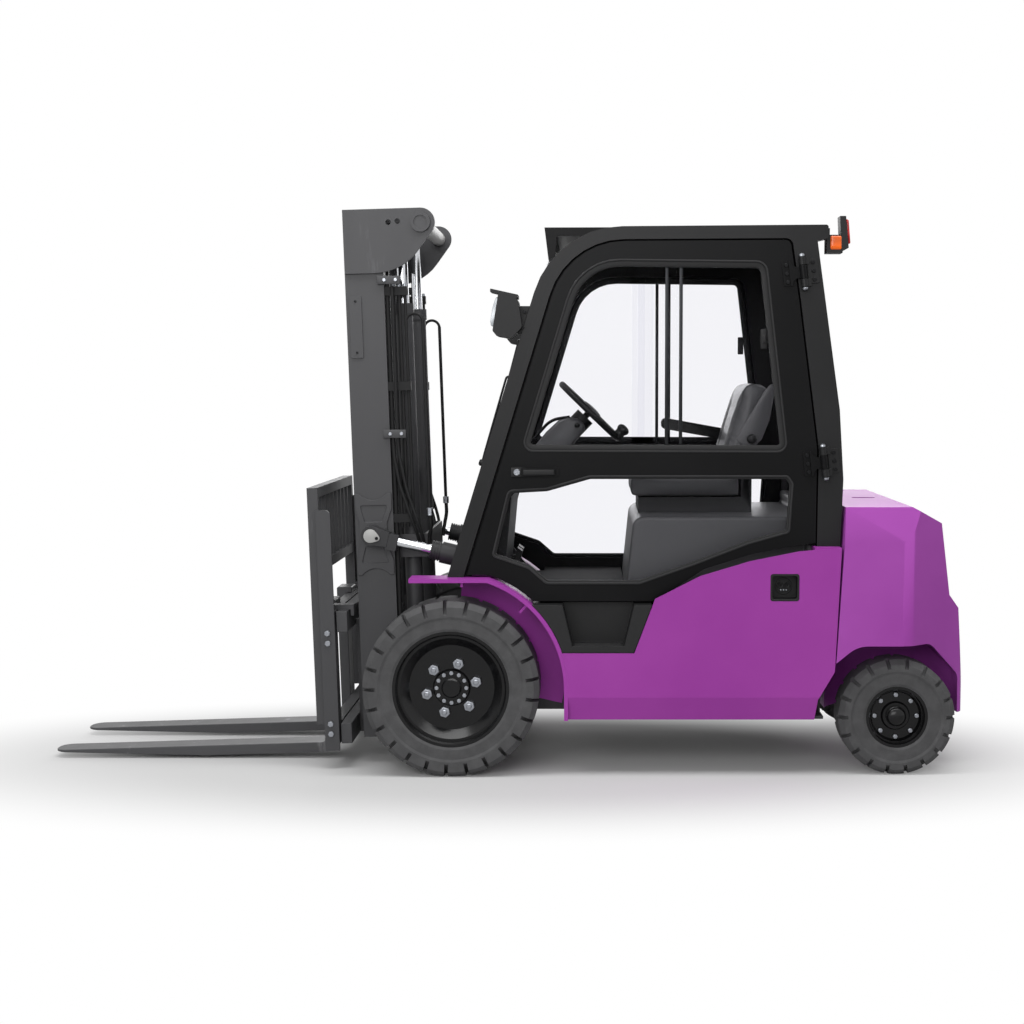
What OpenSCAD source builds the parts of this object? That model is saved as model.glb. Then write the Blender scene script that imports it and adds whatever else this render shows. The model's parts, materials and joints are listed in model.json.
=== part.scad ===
// Electric counterbalance forklift with a closed cab and a two-stage mast.
// Millimetres, +X forward, +Y to the driver's left, +Z up, floor at zero.

/* [Wheels and axles] */
// distance between the front and rear axles
wheelbase = 1797; // [1700:1:1900]
// outside diameter of the front tyres
front_tyre_d = 710; // [660:2:716]
// width of the front tyres
front_tyre_w = 228; // [200:1:232]
// width over the front tyres
overall_w = 1230; // [1226:2:1300]
// outside diameter of the rear tyres
rear_tyre_d = 470; // [440:2:474]
// width of the rear tyres
rear_tyre_w = 170; // [150:1:176]
// width over the rear tyres
rear_overall_w = 1150; // [1140:2:1180]
// diameter of the front rims
front_rim_d = 470; // [420:2:480]
// diameter of the rear rims
rear_rim_d = 250; // [240:2:270]
// distance from a steering pivot to its wheel's middle
pivot_offset = 75; // [70:1:78]
// lugs round each shoulder of a front tyre
front_lugs = 25; // [20:1:30]
// lugs round each shoulder of a rear tyre
rear_lugs = 18; // [14:1:22]
// width of the grooves between the lugs
lug_gap = 15; // [10:1:18]

/* [Mast] */
// forward lean of the mast as the truck stands, in degrees
mast_lean = 1.75; // [0:0.05:3]
// gap between a front tyre and the mast
mast_clear = 17; // [12:1:24]
// fore and aft depth of an outer upright
upright_d = 158; // [150:1:166]
// distance from the tilt axis to the uprights' front faces
mast_front = 390; // [386:1:400]
// top of the uprights above the tilt axis
mast_top = 1937; // [1900:1:2000]
// foot of the uprights below the tilt axis
mast_foot = 232; // [215:1:240]
// lift of the inner mast, and of the carriage on it
lift_stroke = 1600; // [1400:10:1600]
// outside diameter of a lift cylinder
lift_tube_d = 72; // [64:1:76]
// diameter of a lift rod
lift_rod_d = 45; // [36:1:48]

/* [Forks and carriage] */
// length of a fork blade ahead of its face
fork_l = 1150; // [900:10:1400]
// width of a fork
fork_w = 122; // [100:1:140]
// thickness of a fork
fork_t = 43; // [38:1:45]
// width over the two forks
fork_spread = 560; // [400:2:760]
// distance from the tilt axis to the forks' front faces
fork_face = 566; // [562:1:580]
// top of the blades below the tilt axis
blade_drop = 268; // [255:1:270]
// width of the carriage
carriage_w = 930; // [860:2:940]
// top of the load backrest above the tilt axis
backrest_top = 818; // [700:2:900]

/* [Cab] */
// step from a side panel in to the cab's side
cab_inset = 60; // [54:1:66]
// length of a cab side at its foot
cab_l = 1592; // [1560:2:1620]
// rise of the cab from the mudguard to the roof
cab_h = 1405; // [1340:5:1440]
// thickness of the side frames
cab_side_t = 60; // [54:1:64]
// thickness of the doors
door_t = 45; // [38:1:48]
// diameter of the steering wheel
steering_d = 360; // [320:2:380]

/* [Body] */
// step from a front tyre's outer face in to the side panel
body_inset = 15; // [10:1:18]
// height of the sills over the floor
sill_z = 227; // [215:1:240]
// height of the side panels from the sill to the rear top corner
panel_h = 710; // [700:2:716]
// height of the mudguards over the floor
fender_z = 800; // [796:1:810]
// radius of the mudguards about the axle
fender_r = 470; // [462:1:474]
// reach of the tail behind the front axle
tail_reach = 2100; // [2098:2:2180]
// height of the counterweight's top
tail_z = 1085; // [1060:1:1100]

/* [Hidden] */
// pieces that can be drawn alone

// finishes
purple = "#8f3c93";
black = "#222222";
charcoal = "#3a3a3c";
mast_grey = "#4a4a4c";
pale_grey = "#a8a8a6";
chrome = "#c8c8cc";
rubber = "#303032";
clear = "#b8c4c8";
cloth = "#2c2c2e";

// overrun of a cut past the face it opens
over = 5;
// running gap between a pin and its bore
run = 0.3;
// gap between two sheet pieces that meet
seam = 2;
// steps of a rounded corner
round_steps = 7;
// steps of a mudguard's arc
arch_steps = 14;

// the front axle, so that the frame's origin is under the middle of the truck
fork_reach = (fork_face + fork_l) * cos(mast_lean) - blade_drop * sin(mast_lean);
axle_x = (tail_reach - fork_reach) / 2;
axle_z = front_tyre_d / 2;
rear_z = rear_tyre_d / 2;
// widths across the truck
mast_w = overall_w - 2 * (front_tyre_w + mast_clear);
body_w = overall_w - 2 * body_inset;
cab_w = body_w - 2 * cab_inset;
roof_half = cab_w / 2 - cab_side_t;
front_y = (overall_w - front_tyre_w) / 2;
rear_y = (rear_overall_w - rear_tyre_w) / 2;
pivot_y = rear_y - pivot_offset;

function unit(v) = v / norm(v);
function corner(a, b, c, r) = r <= 0 ? [b] :
  let (u = unit(a - b), v = unit(c - b), half = acos(u * v) / 2)
  let (mid = b + unit(u + v) * r / sin(half), reach = r / tan(half))
  let (d0 = b + u * reach - mid, d1 = b + v * reach - mid)
  let (a0 = atan2(d0[1], d0[0]), gap = atan2(d1[1], d1[0]) - a0)
  let (sweep = gap > 180 ? gap - 360 : gap < -180 ? gap + 360 : gap)
  arc(mid, r, a0, a0 + sweep, round_steps);
// a closed line with each corner rounded by one radius, or by its own in a list
function rounded(p, r) = [for (i = [0 : len(p) - 1])
  each corner(p[(i + len(p) - 1) % len(p)], p[i], p[(i + 1) % len(p)], is_list(r) ? r[i] : r)];
function arc(mid, r, from, to, steps) = [for (i = [0 : steps])
  let (a = from + (to - from) * i / steps) mid + r * [cos(a), sin(a)]];
function framed(low, high) = [low, [high[0], low[1]], high, [low[0], high[1]]];

module on_axle() { translate([axle_x, 0, 0]) children(); }
module on_mast() { translate([axle_x, 0, axle_z]) rotate([0, mast_lean, 0]) children(); }
module both_sides() { children(); mirror([0, 1, 0]) children(); }
module hand(side) { if (side > 0) children(); else mirror([0, 1, 0]) children(); }
module block(low, high) { translate(low) cube(high - low); }
module upright_slice(p, y0, y1) {
  translate([0, y1, 0]) rotate([90, 0, 0]) linear_extrude(height = y1 - y0) polygon(p);
}
module flat_slice(p, z0, z1) { translate([0, 0, z0]) linear_extrude(height = z1 - z0) polygon(p); }
module cross_slice(p, x0, x1) {
  translate([x0, 0, 0]) rotate([90, 0, 90]) linear_extrude(height = x1 - x0) polygon(p);
}
module rod_y(x, z, r, y0, y1) {
  translate([x, y1, z]) rotate([90, 0, 0]) cylinder(r = r, h = y1 - y0, $fn = 48);
}
module rod_x(r, x0, x1) { translate([x0, 0, 0]) rotate([0, 90, 0]) cylinder(r = r, h = x1 - x0, $fn = 48); }
module lathe_y(p) { rotate([-90, 0, 0]) rotate_extrude($fn = 96) polygon(p); }

// wheels

tyre_shoulder = 22;
tyre_wall = 10;
tyre_dish = 5;
front_groove_r = 56;
front_groove_y = 84;
rear_groove_r = 42;
rear_groove_y = 62;
front_spindle_r = 55;
front_hub_r = 88;
front_face_r = 76;
front_cap_r = 40;
front_disc_q = 34;
front_disc_t = 16;
rear_spindle_r = 30;
rear_hub_r = 46;
rear_face_r = 59;
rear_cap_r = 40;
rear_disc_q = 24;
rear_disc_t = 12;
rim_t = 12;
rim_bead_h = 8;
rim_ring_h = 22;
hub_face_h = 12;
hub_cap_h = 28;
hub_round = 6;
// widths of a rim's bead, ring and cone, from its edge in to its disc
front_rim_steps = [6, 12, 33];
rear_rim_steps = [4, 5, 8];

module tyre(d, w, rim_d, lugs, groove_r, groove_y) {
  r = d / 2;
  band = r - groove_r - over;
  half = [[r, w / 2 - tyre_shoulder], [r - tyre_shoulder, w / 2], [band, w / 2],
    [band - tyre_wall, w / 2 - tyre_dish], [rim_d / 2 + tyre_wall, w / 2 - tyre_dish],
    [rim_d / 2, w / 2 - tyre_wall]];
  back = [for (i = [len(half) - 1 : -1 : 0]) [half[i][0], -half[i][1]]];
  groove = [[r - groove_r, w / 2 + over], [r + over, w / 2 - groove_y], [r + over, w / 2 + over]];
  difference() {
    lathe_y(concat(half, back));
    for (i = [0 : lugs - 1]) {
      rotate([0, 360 * i / lugs, 0]) flat_slice(groove, -lug_gap / 2, lug_gap / 2);
      rotate([0, 360 * (i + 0.5) / lugs, 0]) mirror([0, 1, 0])
        flat_slice(groove, -lug_gap / 2, lug_gap / 2);
    }
  }
}

module rim(d, w, disc_q, disc_t, hub_r, face_r, cap_r, bore_r, hub_in, steps) {
  edge = w / 2 - tyre_wall;
  lip = d / 2 - rim_t;
  bead = lip - steps[0];
  ring = bead - steps[1];
  disc = ring - steps[2];
  face = disc_q + disc_t;
  lathe_y([[bore_r, -hub_in], [hub_r, -hub_in], [hub_r, disc_q], [disc, disc_q],
    [lip, edge - rim_ring_h - disc_t], [lip, -edge], [d / 2, -edge], [d / 2, edge], [lip, edge],
    [bead, edge - rim_bead_h], [bead, edge - rim_ring_h], [ring, edge - rim_ring_h], [disc, face],
    [face_r, face], [face_r - hub_round, face + hub_face_h], [cap_r, face + hub_face_h],
    [cap_r, face + hub_cap_h - hub_round], [cap_r - hub_round, face + hub_cap_h], [0, face + hub_cap_h],
    [0, face], [bore_r, face]]);
}

front_hub_in = 36;
rear_hub_in = 34;

module front_tyre(side) {
  color(rubber) on_axle() hand(side) translate([0, front_y, axle_z])
    tyre(front_tyre_d, front_tyre_w, front_rim_d, front_lugs, front_groove_r, front_groove_y);
}

module front_rim(side) {
  color(black) on_axle() hand(side) translate([0, front_y, axle_z])
    rim(front_rim_d, front_tyre_w, front_disc_q, front_disc_t, front_hub_r, front_face_r, front_cap_r,
      front_spindle_r + run, front_hub_in, front_rim_steps);
}

module rear_tyre(side) {
  color(rubber) on_axle() hand(side) translate([-wheelbase, rear_y, rear_z])
    tyre(rear_tyre_d, rear_tyre_w, rear_rim_d, rear_lugs, rear_groove_r, rear_groove_y);
}

module rear_rim(side) {
  color(black) on_axle() hand(side) translate([-wheelbase, rear_y, rear_z])
    rim(rear_rim_d, rear_tyre_w, rear_disc_q, rear_disc_t, rear_hub_r, rear_face_r, rear_cap_r,
      rear_spindle_r + run, rear_hub_in, rear_rim_steps);
}

// axles

axle_tube_r = 70;
axle_case_r = 160;
axle_neck_step = 140;
axle_case_step = 100;
axle_neck_y = mast_w / 2 - axle_neck_step;
axle_case_y = axle_neck_y - axle_case_step;
axle_drum_r = 104;
axle_drum_gap = 8;
drum_y = front_y - front_hub_in - axle_drum_gap;
drum_w = 62;

module drive_axle() {
  color(charcoal) on_axle() translate([0, 0, axle_z]) both_sides()
    lathe_y([[0, 0], [axle_case_r, 0], [axle_case_r, axle_case_y], [axle_tube_r, axle_neck_y],
      [axle_tube_r, drum_y - drum_w], [axle_drum_r, drum_y - drum_w], [axle_drum_r, drum_y],
      [front_spindle_r, drum_y], [front_spindle_r, front_y + front_disc_q], [0, front_y + front_disc_q]]);
}

beam_core = 72;
beam_core_y = 150;
beam_neck = 24;
beam_neck_y = pivot_y - rear_rim_d / 2;
beam_h = 124;
ear_t = 24;
ear_r = 34;
king_r = 18;
knuckle_r = 31;
knuckle_gap = 2;
beam_seat_h = 80;

module steer_axle() {
  half_plan = [[-beam_core, 0], [-beam_core, beam_core_y], [-beam_neck, beam_neck_y], [-beam_neck, pivot_y],
    [beam_neck, pivot_y], [beam_neck, beam_neck_y], [beam_core, beam_core_y], [beam_core, 0]];
  color(charcoal) on_axle() translate([-wheelbase, 0, rear_z]) {
    both_sides() difference() {
      union() {
        flat_slice(half_plan, -beam_h / 2, beam_h / 2);
        translate([0, pivot_y, -beam_h / 2]) cylinder(r = ear_r, h = beam_h, $fn = 48);
      }
      difference() {
        block([-ear_r - over, pivot_y - ear_r - knuckle_gap, -beam_h / 2 + ear_t],
          [ear_r + over, pivot_y + ear_r + over, beam_h / 2 - ear_t]);
        translate([0, pivot_y, -beam_h / 2]) cylinder(r = king_r, h = beam_h, $fn = 48);
      }
    }
    block([-beam_core, -beam_core_y / 2, beam_h / 2],
      [beam_core, beam_core_y / 2, beam_h / 2 + beam_seat_h]);
  }
}

module knuckle(side) {
  barrel_h = beam_h - 2 * ear_t - 2 * knuckle_gap;
  color(charcoal) on_axle() hand(side) translate([-wheelbase, pivot_y, rear_z]) difference() {
    union() {
      translate([0, 0, -barrel_h / 2]) cylinder(r = knuckle_r, h = barrel_h, $fn = 48);
      rod_y(0, 0, rear_spindle_r, 0, pivot_offset + rear_disc_q);
    }
    translate([0, 0, -barrel_h]) cylinder(r = king_r + run, h = barrel_h * 2, $fn = 48);
  }
}

// chassis

panel_t = 12;
panel_tuck = 28;
tuck_z = 95;
fender_t = 16;
fender_nose = 166;
fender_in_share = 0.66;
tilt_reach = 50;
tilt_y = mast_w / 2 + tilt_reach;
barrel_r = 44;
fender_gap = 6;
fender_in_y = tilt_y + barrel_r + fender_gap;
gusset_t = 10;
gusset_h = 42;
gusset_angles = [96, 132];
rail_step = 10;
rail_out_y = mast_w / 2 - rail_step;
rail_t = 20;
deck_z = 700;
deck_t = 12;
deck_step = 70;
deck_half = cab_w / 2 - deck_step;
ledge_t = 25;
ledge_drop = 12;
ledge_z = sill_z + panel_h - ledge_drop;
ledge_shares = [0.869, 0.81];
step_foot = 501;
step_top = 694;
socket_x = 1336;
socket_z = 766;
socket_w = 116;
socket_h = 110;
socket_round = 10;
fender_flat = sqrt(pow(fender_r, 2) - pow(fender_z - axle_z, 2));
fender_from = 180 - atan2(fender_z - axle_z, fender_flat);
step_edge = sqrt(pow(fender_r, 2) - pow(step_foot - axle_z, 2));

// side panel's edge as shares of the wheelbase and the panel's height, from the sill's rear end to the step
panel_shares = [[0.8136, 0], [0.8197, 0.12], [0.8564, 0.28], [0.8692, 0.983], [0.7757, 0.963],
  [0.6656, 0.907], [0.5548, 0.8225], [0.4552, 0.693], [0.4096, 0.386]];
panel_edge = [for (s = panel_shares) [-s[0] * wheelbase, sill_z + s[1] * panel_h]];
fender_line = arc([0, axle_z], fender_r, fender_from, 180, arch_steps);
fender_back = arc([0, axle_z], fender_r - fender_t, 180, fender_from, arch_steps);

module side_frame(with_socket) {
  arch_low = arc([0, axle_z], fender_r, 180 - asin((step_foot - axle_z) / fender_r), 180, arch_steps);
  skin = concat(panel_edge, arch_low, [[-fender_r, sill_z]]);
  fender_foot = [[-fender_r, sill_z], [-fender_r + fender_t, sill_z]];
  y1 = body_w / 2;
  difference() {
    union() {
      intersection() {
        upright_slice(skin, y1 - panel_tuck * 2, y1);
        cross_slice([[y1 - panel_t, sill_z + panel_h], [y1, sill_z + panel_h], [y1, sill_z + tuck_z],
          [y1 - panel_tuck, sill_z], [y1 - panel_tuck - panel_t, sill_z], [y1 - panel_t, sill_z + tuck_z]],
          -wheelbase, fender_r);
      }
      upright_slice(concat([[fender_nose, fender_z]], fender_line, fender_foot, fender_back,
        [[fender_nose, fender_z - fender_t]]), fender_in_y, y1);
      intersection() {
        upright_slice(concat(fender_line, fender_foot, fender_back), rail_out_y, fender_in_y + over);
        block([-fender_r - over, 0, sill_z], [-fender_r * fender_in_share, y1, fender_z]);
      }
      intersection() {
        for (a = gusset_angles) translate([0, 0, axle_z]) rotate([0, -a, 0])
          block([fender_r - fender_t - gusset_h, fender_in_y, -gusset_t / 2],
            [fender_r, y1 - panel_tuck, gusset_t / 2]);
        block([-fender_r, 0, 0], [fender_nose, y1, fender_z - fender_t / 2]);
      }
      block([-ledge_shares[0] * wheelbase, cab_w / 2 - cab_side_t, ledge_z - ledge_t],
        [-ledge_shares[1] * wheelbase, y1 - panel_t / 2, ledge_z]);
    }
    if (with_socket)
      upright_slice(rounded(framed([-socket_x - socket_w / 2, socket_z - socket_h / 2],
        [-socket_x + socket_w / 2, socket_z + socket_h / 2]), socket_round), y1 - panel_t - over,
          y1 + over);
  }
}

module side_frames() {
  color(purple) on_axle() {
    side_frame(true);
    mirror([0, 1, 0]) side_frame(false);
  }
}

tilt_lug_r = 34;
tilt_pin_r = 20;
tilt_eye_w = 52;
tilt_foot = [-169, 838];
core_tail = 1500;
core_nose = 84;
pan_t = 13;
bulk_t = 12;
bulk_x = 452;
rail_dip = 40;

module frame_core() {
  rail = [[core_nose, axle_z + core_nose], [core_nose, axle_z - core_nose], [-core_nose, sill_z],
    [-core_tail, sill_z], [-core_tail, deck_z], [tilt_foot[0] - tilt_lug_r * 4, deck_z],
    [tilt_foot[0] - tilt_lug_r, tilt_foot[1]], [tilt_foot[0] + tilt_lug_r, tilt_foot[1]],
    [tilt_foot[0] + tilt_lug_r * 2, deck_z - rail_dip]];
  pan_half = body_w / 2 - panel_tuck - panel_t;
  color(charcoal) on_axle() {
    both_sides() {
      difference() {
        union() {
          upright_slice(rail, rail_out_y - rail_t, rail_out_y);
          rod_y(tilt_foot[0], tilt_foot[1], tilt_lug_r, rail_out_y - rail_t, rail_out_y);
        }
        rod_y(0, axle_z, axle_tube_r, rail_out_y - rail_t - over, rail_out_y + over);
      }
      rod_y(tilt_foot[0], tilt_foot[1], tilt_pin_r, rail_out_y, tilt_y + tilt_eye_w / 2 + over);
    }
    block([-core_tail, -pan_half, sill_z], [-fender_r, pan_half, sill_z + pan_t]);
    block([-bulk_x, -rail_out_y + over, sill_z], [-bulk_x + bulk_t, rail_out_y - over, deck_z]);
    block([-core_tail, -deck_half, sill_z], [-core_tail + bulk_t, deck_half, deck_z]);
    block([-core_tail, -deck_half, deck_z], [-fender_r, deck_half, deck_z + deck_t]);
  }
}

step_wall = 20;
step_tread = 28;
tread_ribs = 4;
tread_rib = 8;

module steps() {
  y1 = body_w / 2 - seam;
  foot = panel_edge[8];
  flank = (panel_edge[7][0] - foot[0]) / (panel_edge[7][1] - foot[1]);
  step_back = foot[0] + flank * (step_top - foot[1]) + seam;
  arch_high = arc([0, axle_z], fender_r + seam / 2, 180 - asin((step_top - axle_z) / fender_r),
    180 - asin((step_foot + seam / 2 - axle_z) / fender_r), arch_steps);
  outline = concat(arch_high, [[foot[0] + seam, step_foot + seam / 2], [step_back, step_top]]);
  front_in = -step_edge - step_wall * 2;
  rear_in = foot[0] + step_wall * 2;
  tread_z = step_foot + step_tread;
  color(black) on_axle() both_sides() {
    difference() {
      upright_slice(outline, deck_half, y1);
      upright_slice([[front_in + step_wall * 2, step_top + over], [front_in, tread_z], [rear_in, tread_z],
        [rear_in - step_wall * 2, step_top + over]], deck_half + step_wall, y1 + over);
      for (i = [1 : tread_ribs]) {
        y = deck_half + step_wall + (y1 - deck_half - step_wall) * i / (tread_ribs + 1);
        block([rear_in + step_wall / 2, y - tread_rib / 2, tread_z - tread_rib],
          [front_in - step_wall / 2, y + tread_rib / 2, tread_z + over]);
      }
    }
  }
}

tail_front = 1582;
tail_seam = 1543;
tail_flare = 220;
tail_flare_y = body_w / 2 - tail_flare;
tail_side_x = 1840;
tail_side_r = 90;
tail_end_r = 60;
tail_waist_z = 945;
tail_lean_in = 40;
tail_foot = 223;
wheel_gap = 6.5;
wheel_room = norm([rear_tyre_d / 2, pivot_offset + rear_tyre_w / 2 - tyre_shoulder]) + wheel_gap;
arch_gap = 59;
arch_top = rear_tyre_d + arch_gap;
arch_r = 120;
lift_slot_l = 100;
lift_slot_w = 44;
lift_slot_h = 120;
lift_slot_x = 1745;
tail_boss_step = 300;
tail_boss_half = body_w / 2 - tail_boss_step;
tail_boss_z = 545;
tow_depth = 112;
tow_half = 62;
tow_low = 400;
tow_shelf = [520, 545];
tow_high = 640;
tow_pin_r = 15;
tow_pin_in = 60;
tow_x = tail_reach - tow_pin_in;
// counterweight's tail line as shares of the tail's reach and of its height
tail_shares = [[0.881, 1], [0.945, 0.934], [0.966, 0.66], [0.988, 0.606], [1, 0.287], [1, 0.205]];
// wheel arch's corners as shares of the wheel's room and of the arch's top
arch_shares = [[0.6, 1], [-0.5, 1], [-1, 0.72], [-1, 0]];
arch_front_share = 0.8;
seam_share = 0.28;

module counterweight() {
  y1 = body_w / 2;
  tail_line = [for (s = tail_shares) [-s[0] * tail_reach, s[1] * tail_z]];
  side = concat([[-tail_front, tail_z]], tail_line,
    [[-tail_seam + over, tail_foot], [-tail_seam, sill_z + panel_h * seam_share]]);
  plan = rounded([[-core_tail - seam, -y1], [-tail_side_x, -y1], [-tail_reach, -tail_flare_y],
    [-tail_reach, tail_flare_y], [-tail_side_x, y1], [-core_tail - seam, y1]],
    [0, tail_side_r, tail_end_r, tail_end_r, tail_side_r, 0]);
  section = [[y1, tail_foot - over], [y1, tail_waist_z], [y1 - tail_lean_in, tail_z + seam],
    [-y1 + tail_lean_in, tail_z + seam], [-y1, tail_waist_z], [-y1, tail_foot - over]];
  arch = [for (s = arch_shares) [-wheelbase + s[0] * wheel_room, s[1] * arch_top]];
  house = rounded(concat([[-core_tail, 0], [-core_tail, arch_top * arch_front_share]], arch),
    [0, arch_r / 2, arch_r, arch_r / 2, arch_r / 2, 0]);
  color(purple) on_axle() difference() {
    union() {
      intersection() {
        upright_slice(side, -y1, y1);
        flat_slice(plan, 0, tail_z);
        cross_slice(section, -tail_reach, 0);
      }
      block([-tail_front - over, -tail_boss_half, tail_boss_z],
        [-core_tail, tail_boss_half, deck_z - over]);
    }
    both_sides() intersection() {
      upright_slice(house, 0, y1 + over);
      union() {
        translate([-wheelbase, pivot_y, 0]) cylinder(r = wheel_room, h = tail_z, $fn = 96);
        block([-wheelbase - wheel_room, pivot_y, 0], [-core_tail, y1 + over, tail_z]);
      }
    }
    block([-wheelbase - beam_core - over, -pivot_y, 0],
      [-wheelbase + beam_core + over, pivot_y, rear_z + beam_h / 2 + beam_seat_h]);
    translate([0, 0, tail_z - lift_slot_h]) linear_extrude(height = lift_slot_h + over)
      polygon(rounded(framed([-lift_slot_x - lift_slot_l / 2, -lift_slot_w / 2],
        [-lift_slot_x + lift_slot_l / 2, lift_slot_w / 2]), lift_slot_w / 3));
    block([-tail_reach - over, -tow_half, tow_low], [-tail_reach + tow_depth, tow_half, tow_shelf[0]]);
    block([-tail_reach - over, -tow_half, tow_shelf[1]], [-tail_reach + tow_depth, tow_half, tow_high]);
    translate([-tow_x, 0, tow_low - tow_pin_r])
      cylinder(r = tow_pin_r + run, h = tow_high - tow_low, $fn = 32);
  }
}

module tow_pin() {
  head_z = tow_high - tow_pin_r * 3;
  color(charcoal) on_axle() {
    translate([-tow_x, 0, tow_low - tow_pin_r])
      cylinder(r = tow_pin_r, h = head_z - tow_low + tow_pin_r, $fn = 32);
    translate([-tow_x, 0, tow_shelf[1] + run]) cylinder(r = tow_pin_r * 1.6, h = tow_pin_r, $fn = 32);
    rod_y(-tow_x, head_z, tow_pin_r * 0.6, -tow_half * 0.7, tow_half * 0.7);
  }
}

battery_gap = 20;
battery_half = rail_out_y - rail_t - battery_gap;
battery_x0 = 1460;
battery_x1 = 560;
battery_top = 684;

module battery() {
  color(charcoal) on_axle()
    block([-battery_x0, -battery_half, sill_z + pan_t], [-battery_x1, battery_half, battery_top]);
}

socket_lip = 8;
socket_back = 20;
socket_depth = 54;
socket_ring = [34, 28];
socket_ring_h = 3;

module charge_socket() {
  y1 = body_w / 2 - run;
  half = [socket_w / 2 - run, socket_h / 2 - run];
  inside = half - [socket_lip, socket_lip];
  floor_y = y1 - socket_depth;
  color(black) on_axle() translate([-socket_x, 0, socket_z]) {
    difference() {
      upright_slice(rounded(framed(-half, half), socket_round), floor_y - socket_back, y1);
      upright_slice(rounded(framed(-inside, inside), socket_round), floor_y, y1 + over);
    }
    difference() {
      rod_y(0, 0, socket_ring[0], floor_y - over, floor_y + socket_ring_h);
      rod_y(0, 0, socket_ring[1], floor_y, floor_y + socket_depth);
    }
  }
}

// cab

cab_front = 17;
// cab side frame's outer edge as shares of the cab's length and rise, from the front foot to the rear foot
cab_outer_shares = [[0, 0], [0.272, 0.994], [0.955, 1], [0.954, 0.961], [0.928, 0.954], [0.988, 0.479],
  [0.999, 0.281], [0.993, 0.089]];
// door opening's edge in the same shares, from the rear foot round to the front foot
cab_inner_shares = [[0.934, 0.089], [0.9366, 0.366], [0.8876, 0.789], [0.865, 0.962], [0.3035, 0.958],
  [0.041, 0]];
// door's edge, from the rear top round by the front to the sill's rear end
door_shares = [[0.86, 0.957], [0.308, 0.953], [0.051, 0.01]];
door_rear_shares = [[0.9305, 0.099], [0.932, 0.366], [0.883, 0.789]];
// door's lower edge over the side panel
door_foot_shares = [[0.5355, -0.063], [0.649, 0.024], [0.766, 0.066], [0.878, 0.091]];
// upper window of a door
high_window_shares = [[0.185, 0.359], [0.333, 0.906], [0.803, 0.9], [0.86, 0.357]];
high_window_r = [40, 220, 50, 40];
// lower window of a door
low_window_shares = [[0.112, 0.06], [0.154, 0.252], [0.252, 0.258], [0.36, 0.293], [0.86, 0.293],
  [0.874, 0.27],
  [0.866, 0.128], [0.76, 0.094], [0.626, 0.035], [0.487, -0.02], [0.249, -0.02], [0.205, 0.024]];
low_window_r = [20, 30, 60, 60, 20, 20, 20, 60, 60, 40, 40, 40];
roof_r = 370;
rail_r = 10;
frame_corner_r = 30;
frame_bend = 310;
door_gap = 10;
door_corner_r = 24;
door_bend = 302;

function cab_points(shares) = [for (s = shares) [cab_front - s[0] * cab_l, fender_z + s[1] * cab_h]];

hinge_high = [-1402, 2018];
hinge_low = [-1493, 1265];
hinge_reach = 22;
hinge_y = cab_w / 2 + hinge_reach;
hinge_lean = atan2(hinge_high[0] - hinge_low[0], hinge_high[1] - hinge_low[1]);
hinge_pin_r = 8;
hinge_sleeve_r = 14;
hinge_pin_h = 136;
hinge_sleeve_h = 52;
hinge_knuckle_h = 30;
hinge_leaf_t = 8;
hinge_leaf_l = 34;
hinge_leaf_r = 8;
hinge_arm = 46;
hinge_waist = 22;
hinge_flare_r = hinge_arm - hinge_sleeve_r - over;
hinge_leaf_h = 2 * (hinge_waist + hinge_flare_r);

module at_hinge(p) { translate([p[0], hinge_y, p[1]]) rotate([0, hinge_lean, 0]) children(); }

module cab_side() {
  y1 = cab_w / 2;
  outer = cab_points(cab_outer_shares);
  inner = cab_points(cab_inner_shares);
  upright_slice(rounded(concat(outer, inner),
    [0, roof_r, rail_r, rail_r, 0, 0, 0, 0, 0, 0, 0, frame_corner_r, frame_bend, 0]), y1 - cab_side_t, y1);
  for (p = [hinge_high, hinge_low]) at_hinge(p) {
    translate([0, 0, -hinge_pin_h / 2]) cylinder(r = hinge_pin_r, h = hinge_pin_h, $fn = 32);
    for (end = [-1, 1]) translate([0, 0, end * (hinge_sleeve_h + hinge_knuckle_h + over) / 2]) {
      translate([0, 0, -hinge_knuckle_h / 2]) cylinder(r = hinge_sleeve_r, h = hinge_knuckle_h, $fn = 32);
      block([-hinge_sleeve_r * 2, -hinge_reach - over, -hinge_knuckle_h / 2],
        [0, -hinge_reach + hinge_leaf_t * 2, hinge_knuckle_h / 2]);
    }
    upright_slice(rounded(framed([-hinge_sleeve_r * 2 - hinge_leaf_l, -hinge_leaf_h / 2],
      [-hinge_sleeve_r - over, hinge_leaf_h / 2]), hinge_leaf_r), -hinge_reach - over,
        -hinge_reach + hinge_leaf_t);
  }
}

module cab_sides() { color(black) on_axle() both_sides() cab_side(); }

// roof's cross line as shares of the cab's length and rise
roof_shares = [[0.247, 0.996], [0.94, 0.998], [0.94, 0.975], [0.278, 0.972], [0.274, 0.915],
  [0.257, 0.904]];
roof_panels = 5;
roof_rib = 36;
roof_dip = 9;
// ends of the roof's pressed panels as shares of the cab's length
roof_panel_shares = [0.33, 0.92];

module roof() {
  bay = (2 * roof_half - roof_rib) / roof_panels;
  ends = [for (s = roof_panel_shares) cab_front - s * cab_l];
  top = fender_z + cab_h;
  color(black) on_axle() difference() {
    upright_slice(cab_points(roof_shares), -roof_half, roof_half);
    for (i = [0 : roof_panels - 1]) {
      y0 = -roof_half + roof_rib + i * bay;
      flat_slice(rounded(framed([ends[1], y0], [ends[0], y0 + bay - roof_rib]), roof_rib / 2),
        top - roof_dip, top + over);
    }
  }
}

glass_t = 6;
screen_low_shares = [0.0735, 0.25];
screen_high_shares = [0.2535, 0.9015];
panel_low_shares = [0.012, 0.012];
panel_in_shares = 0.0075;
tilt_room = 62;

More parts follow.
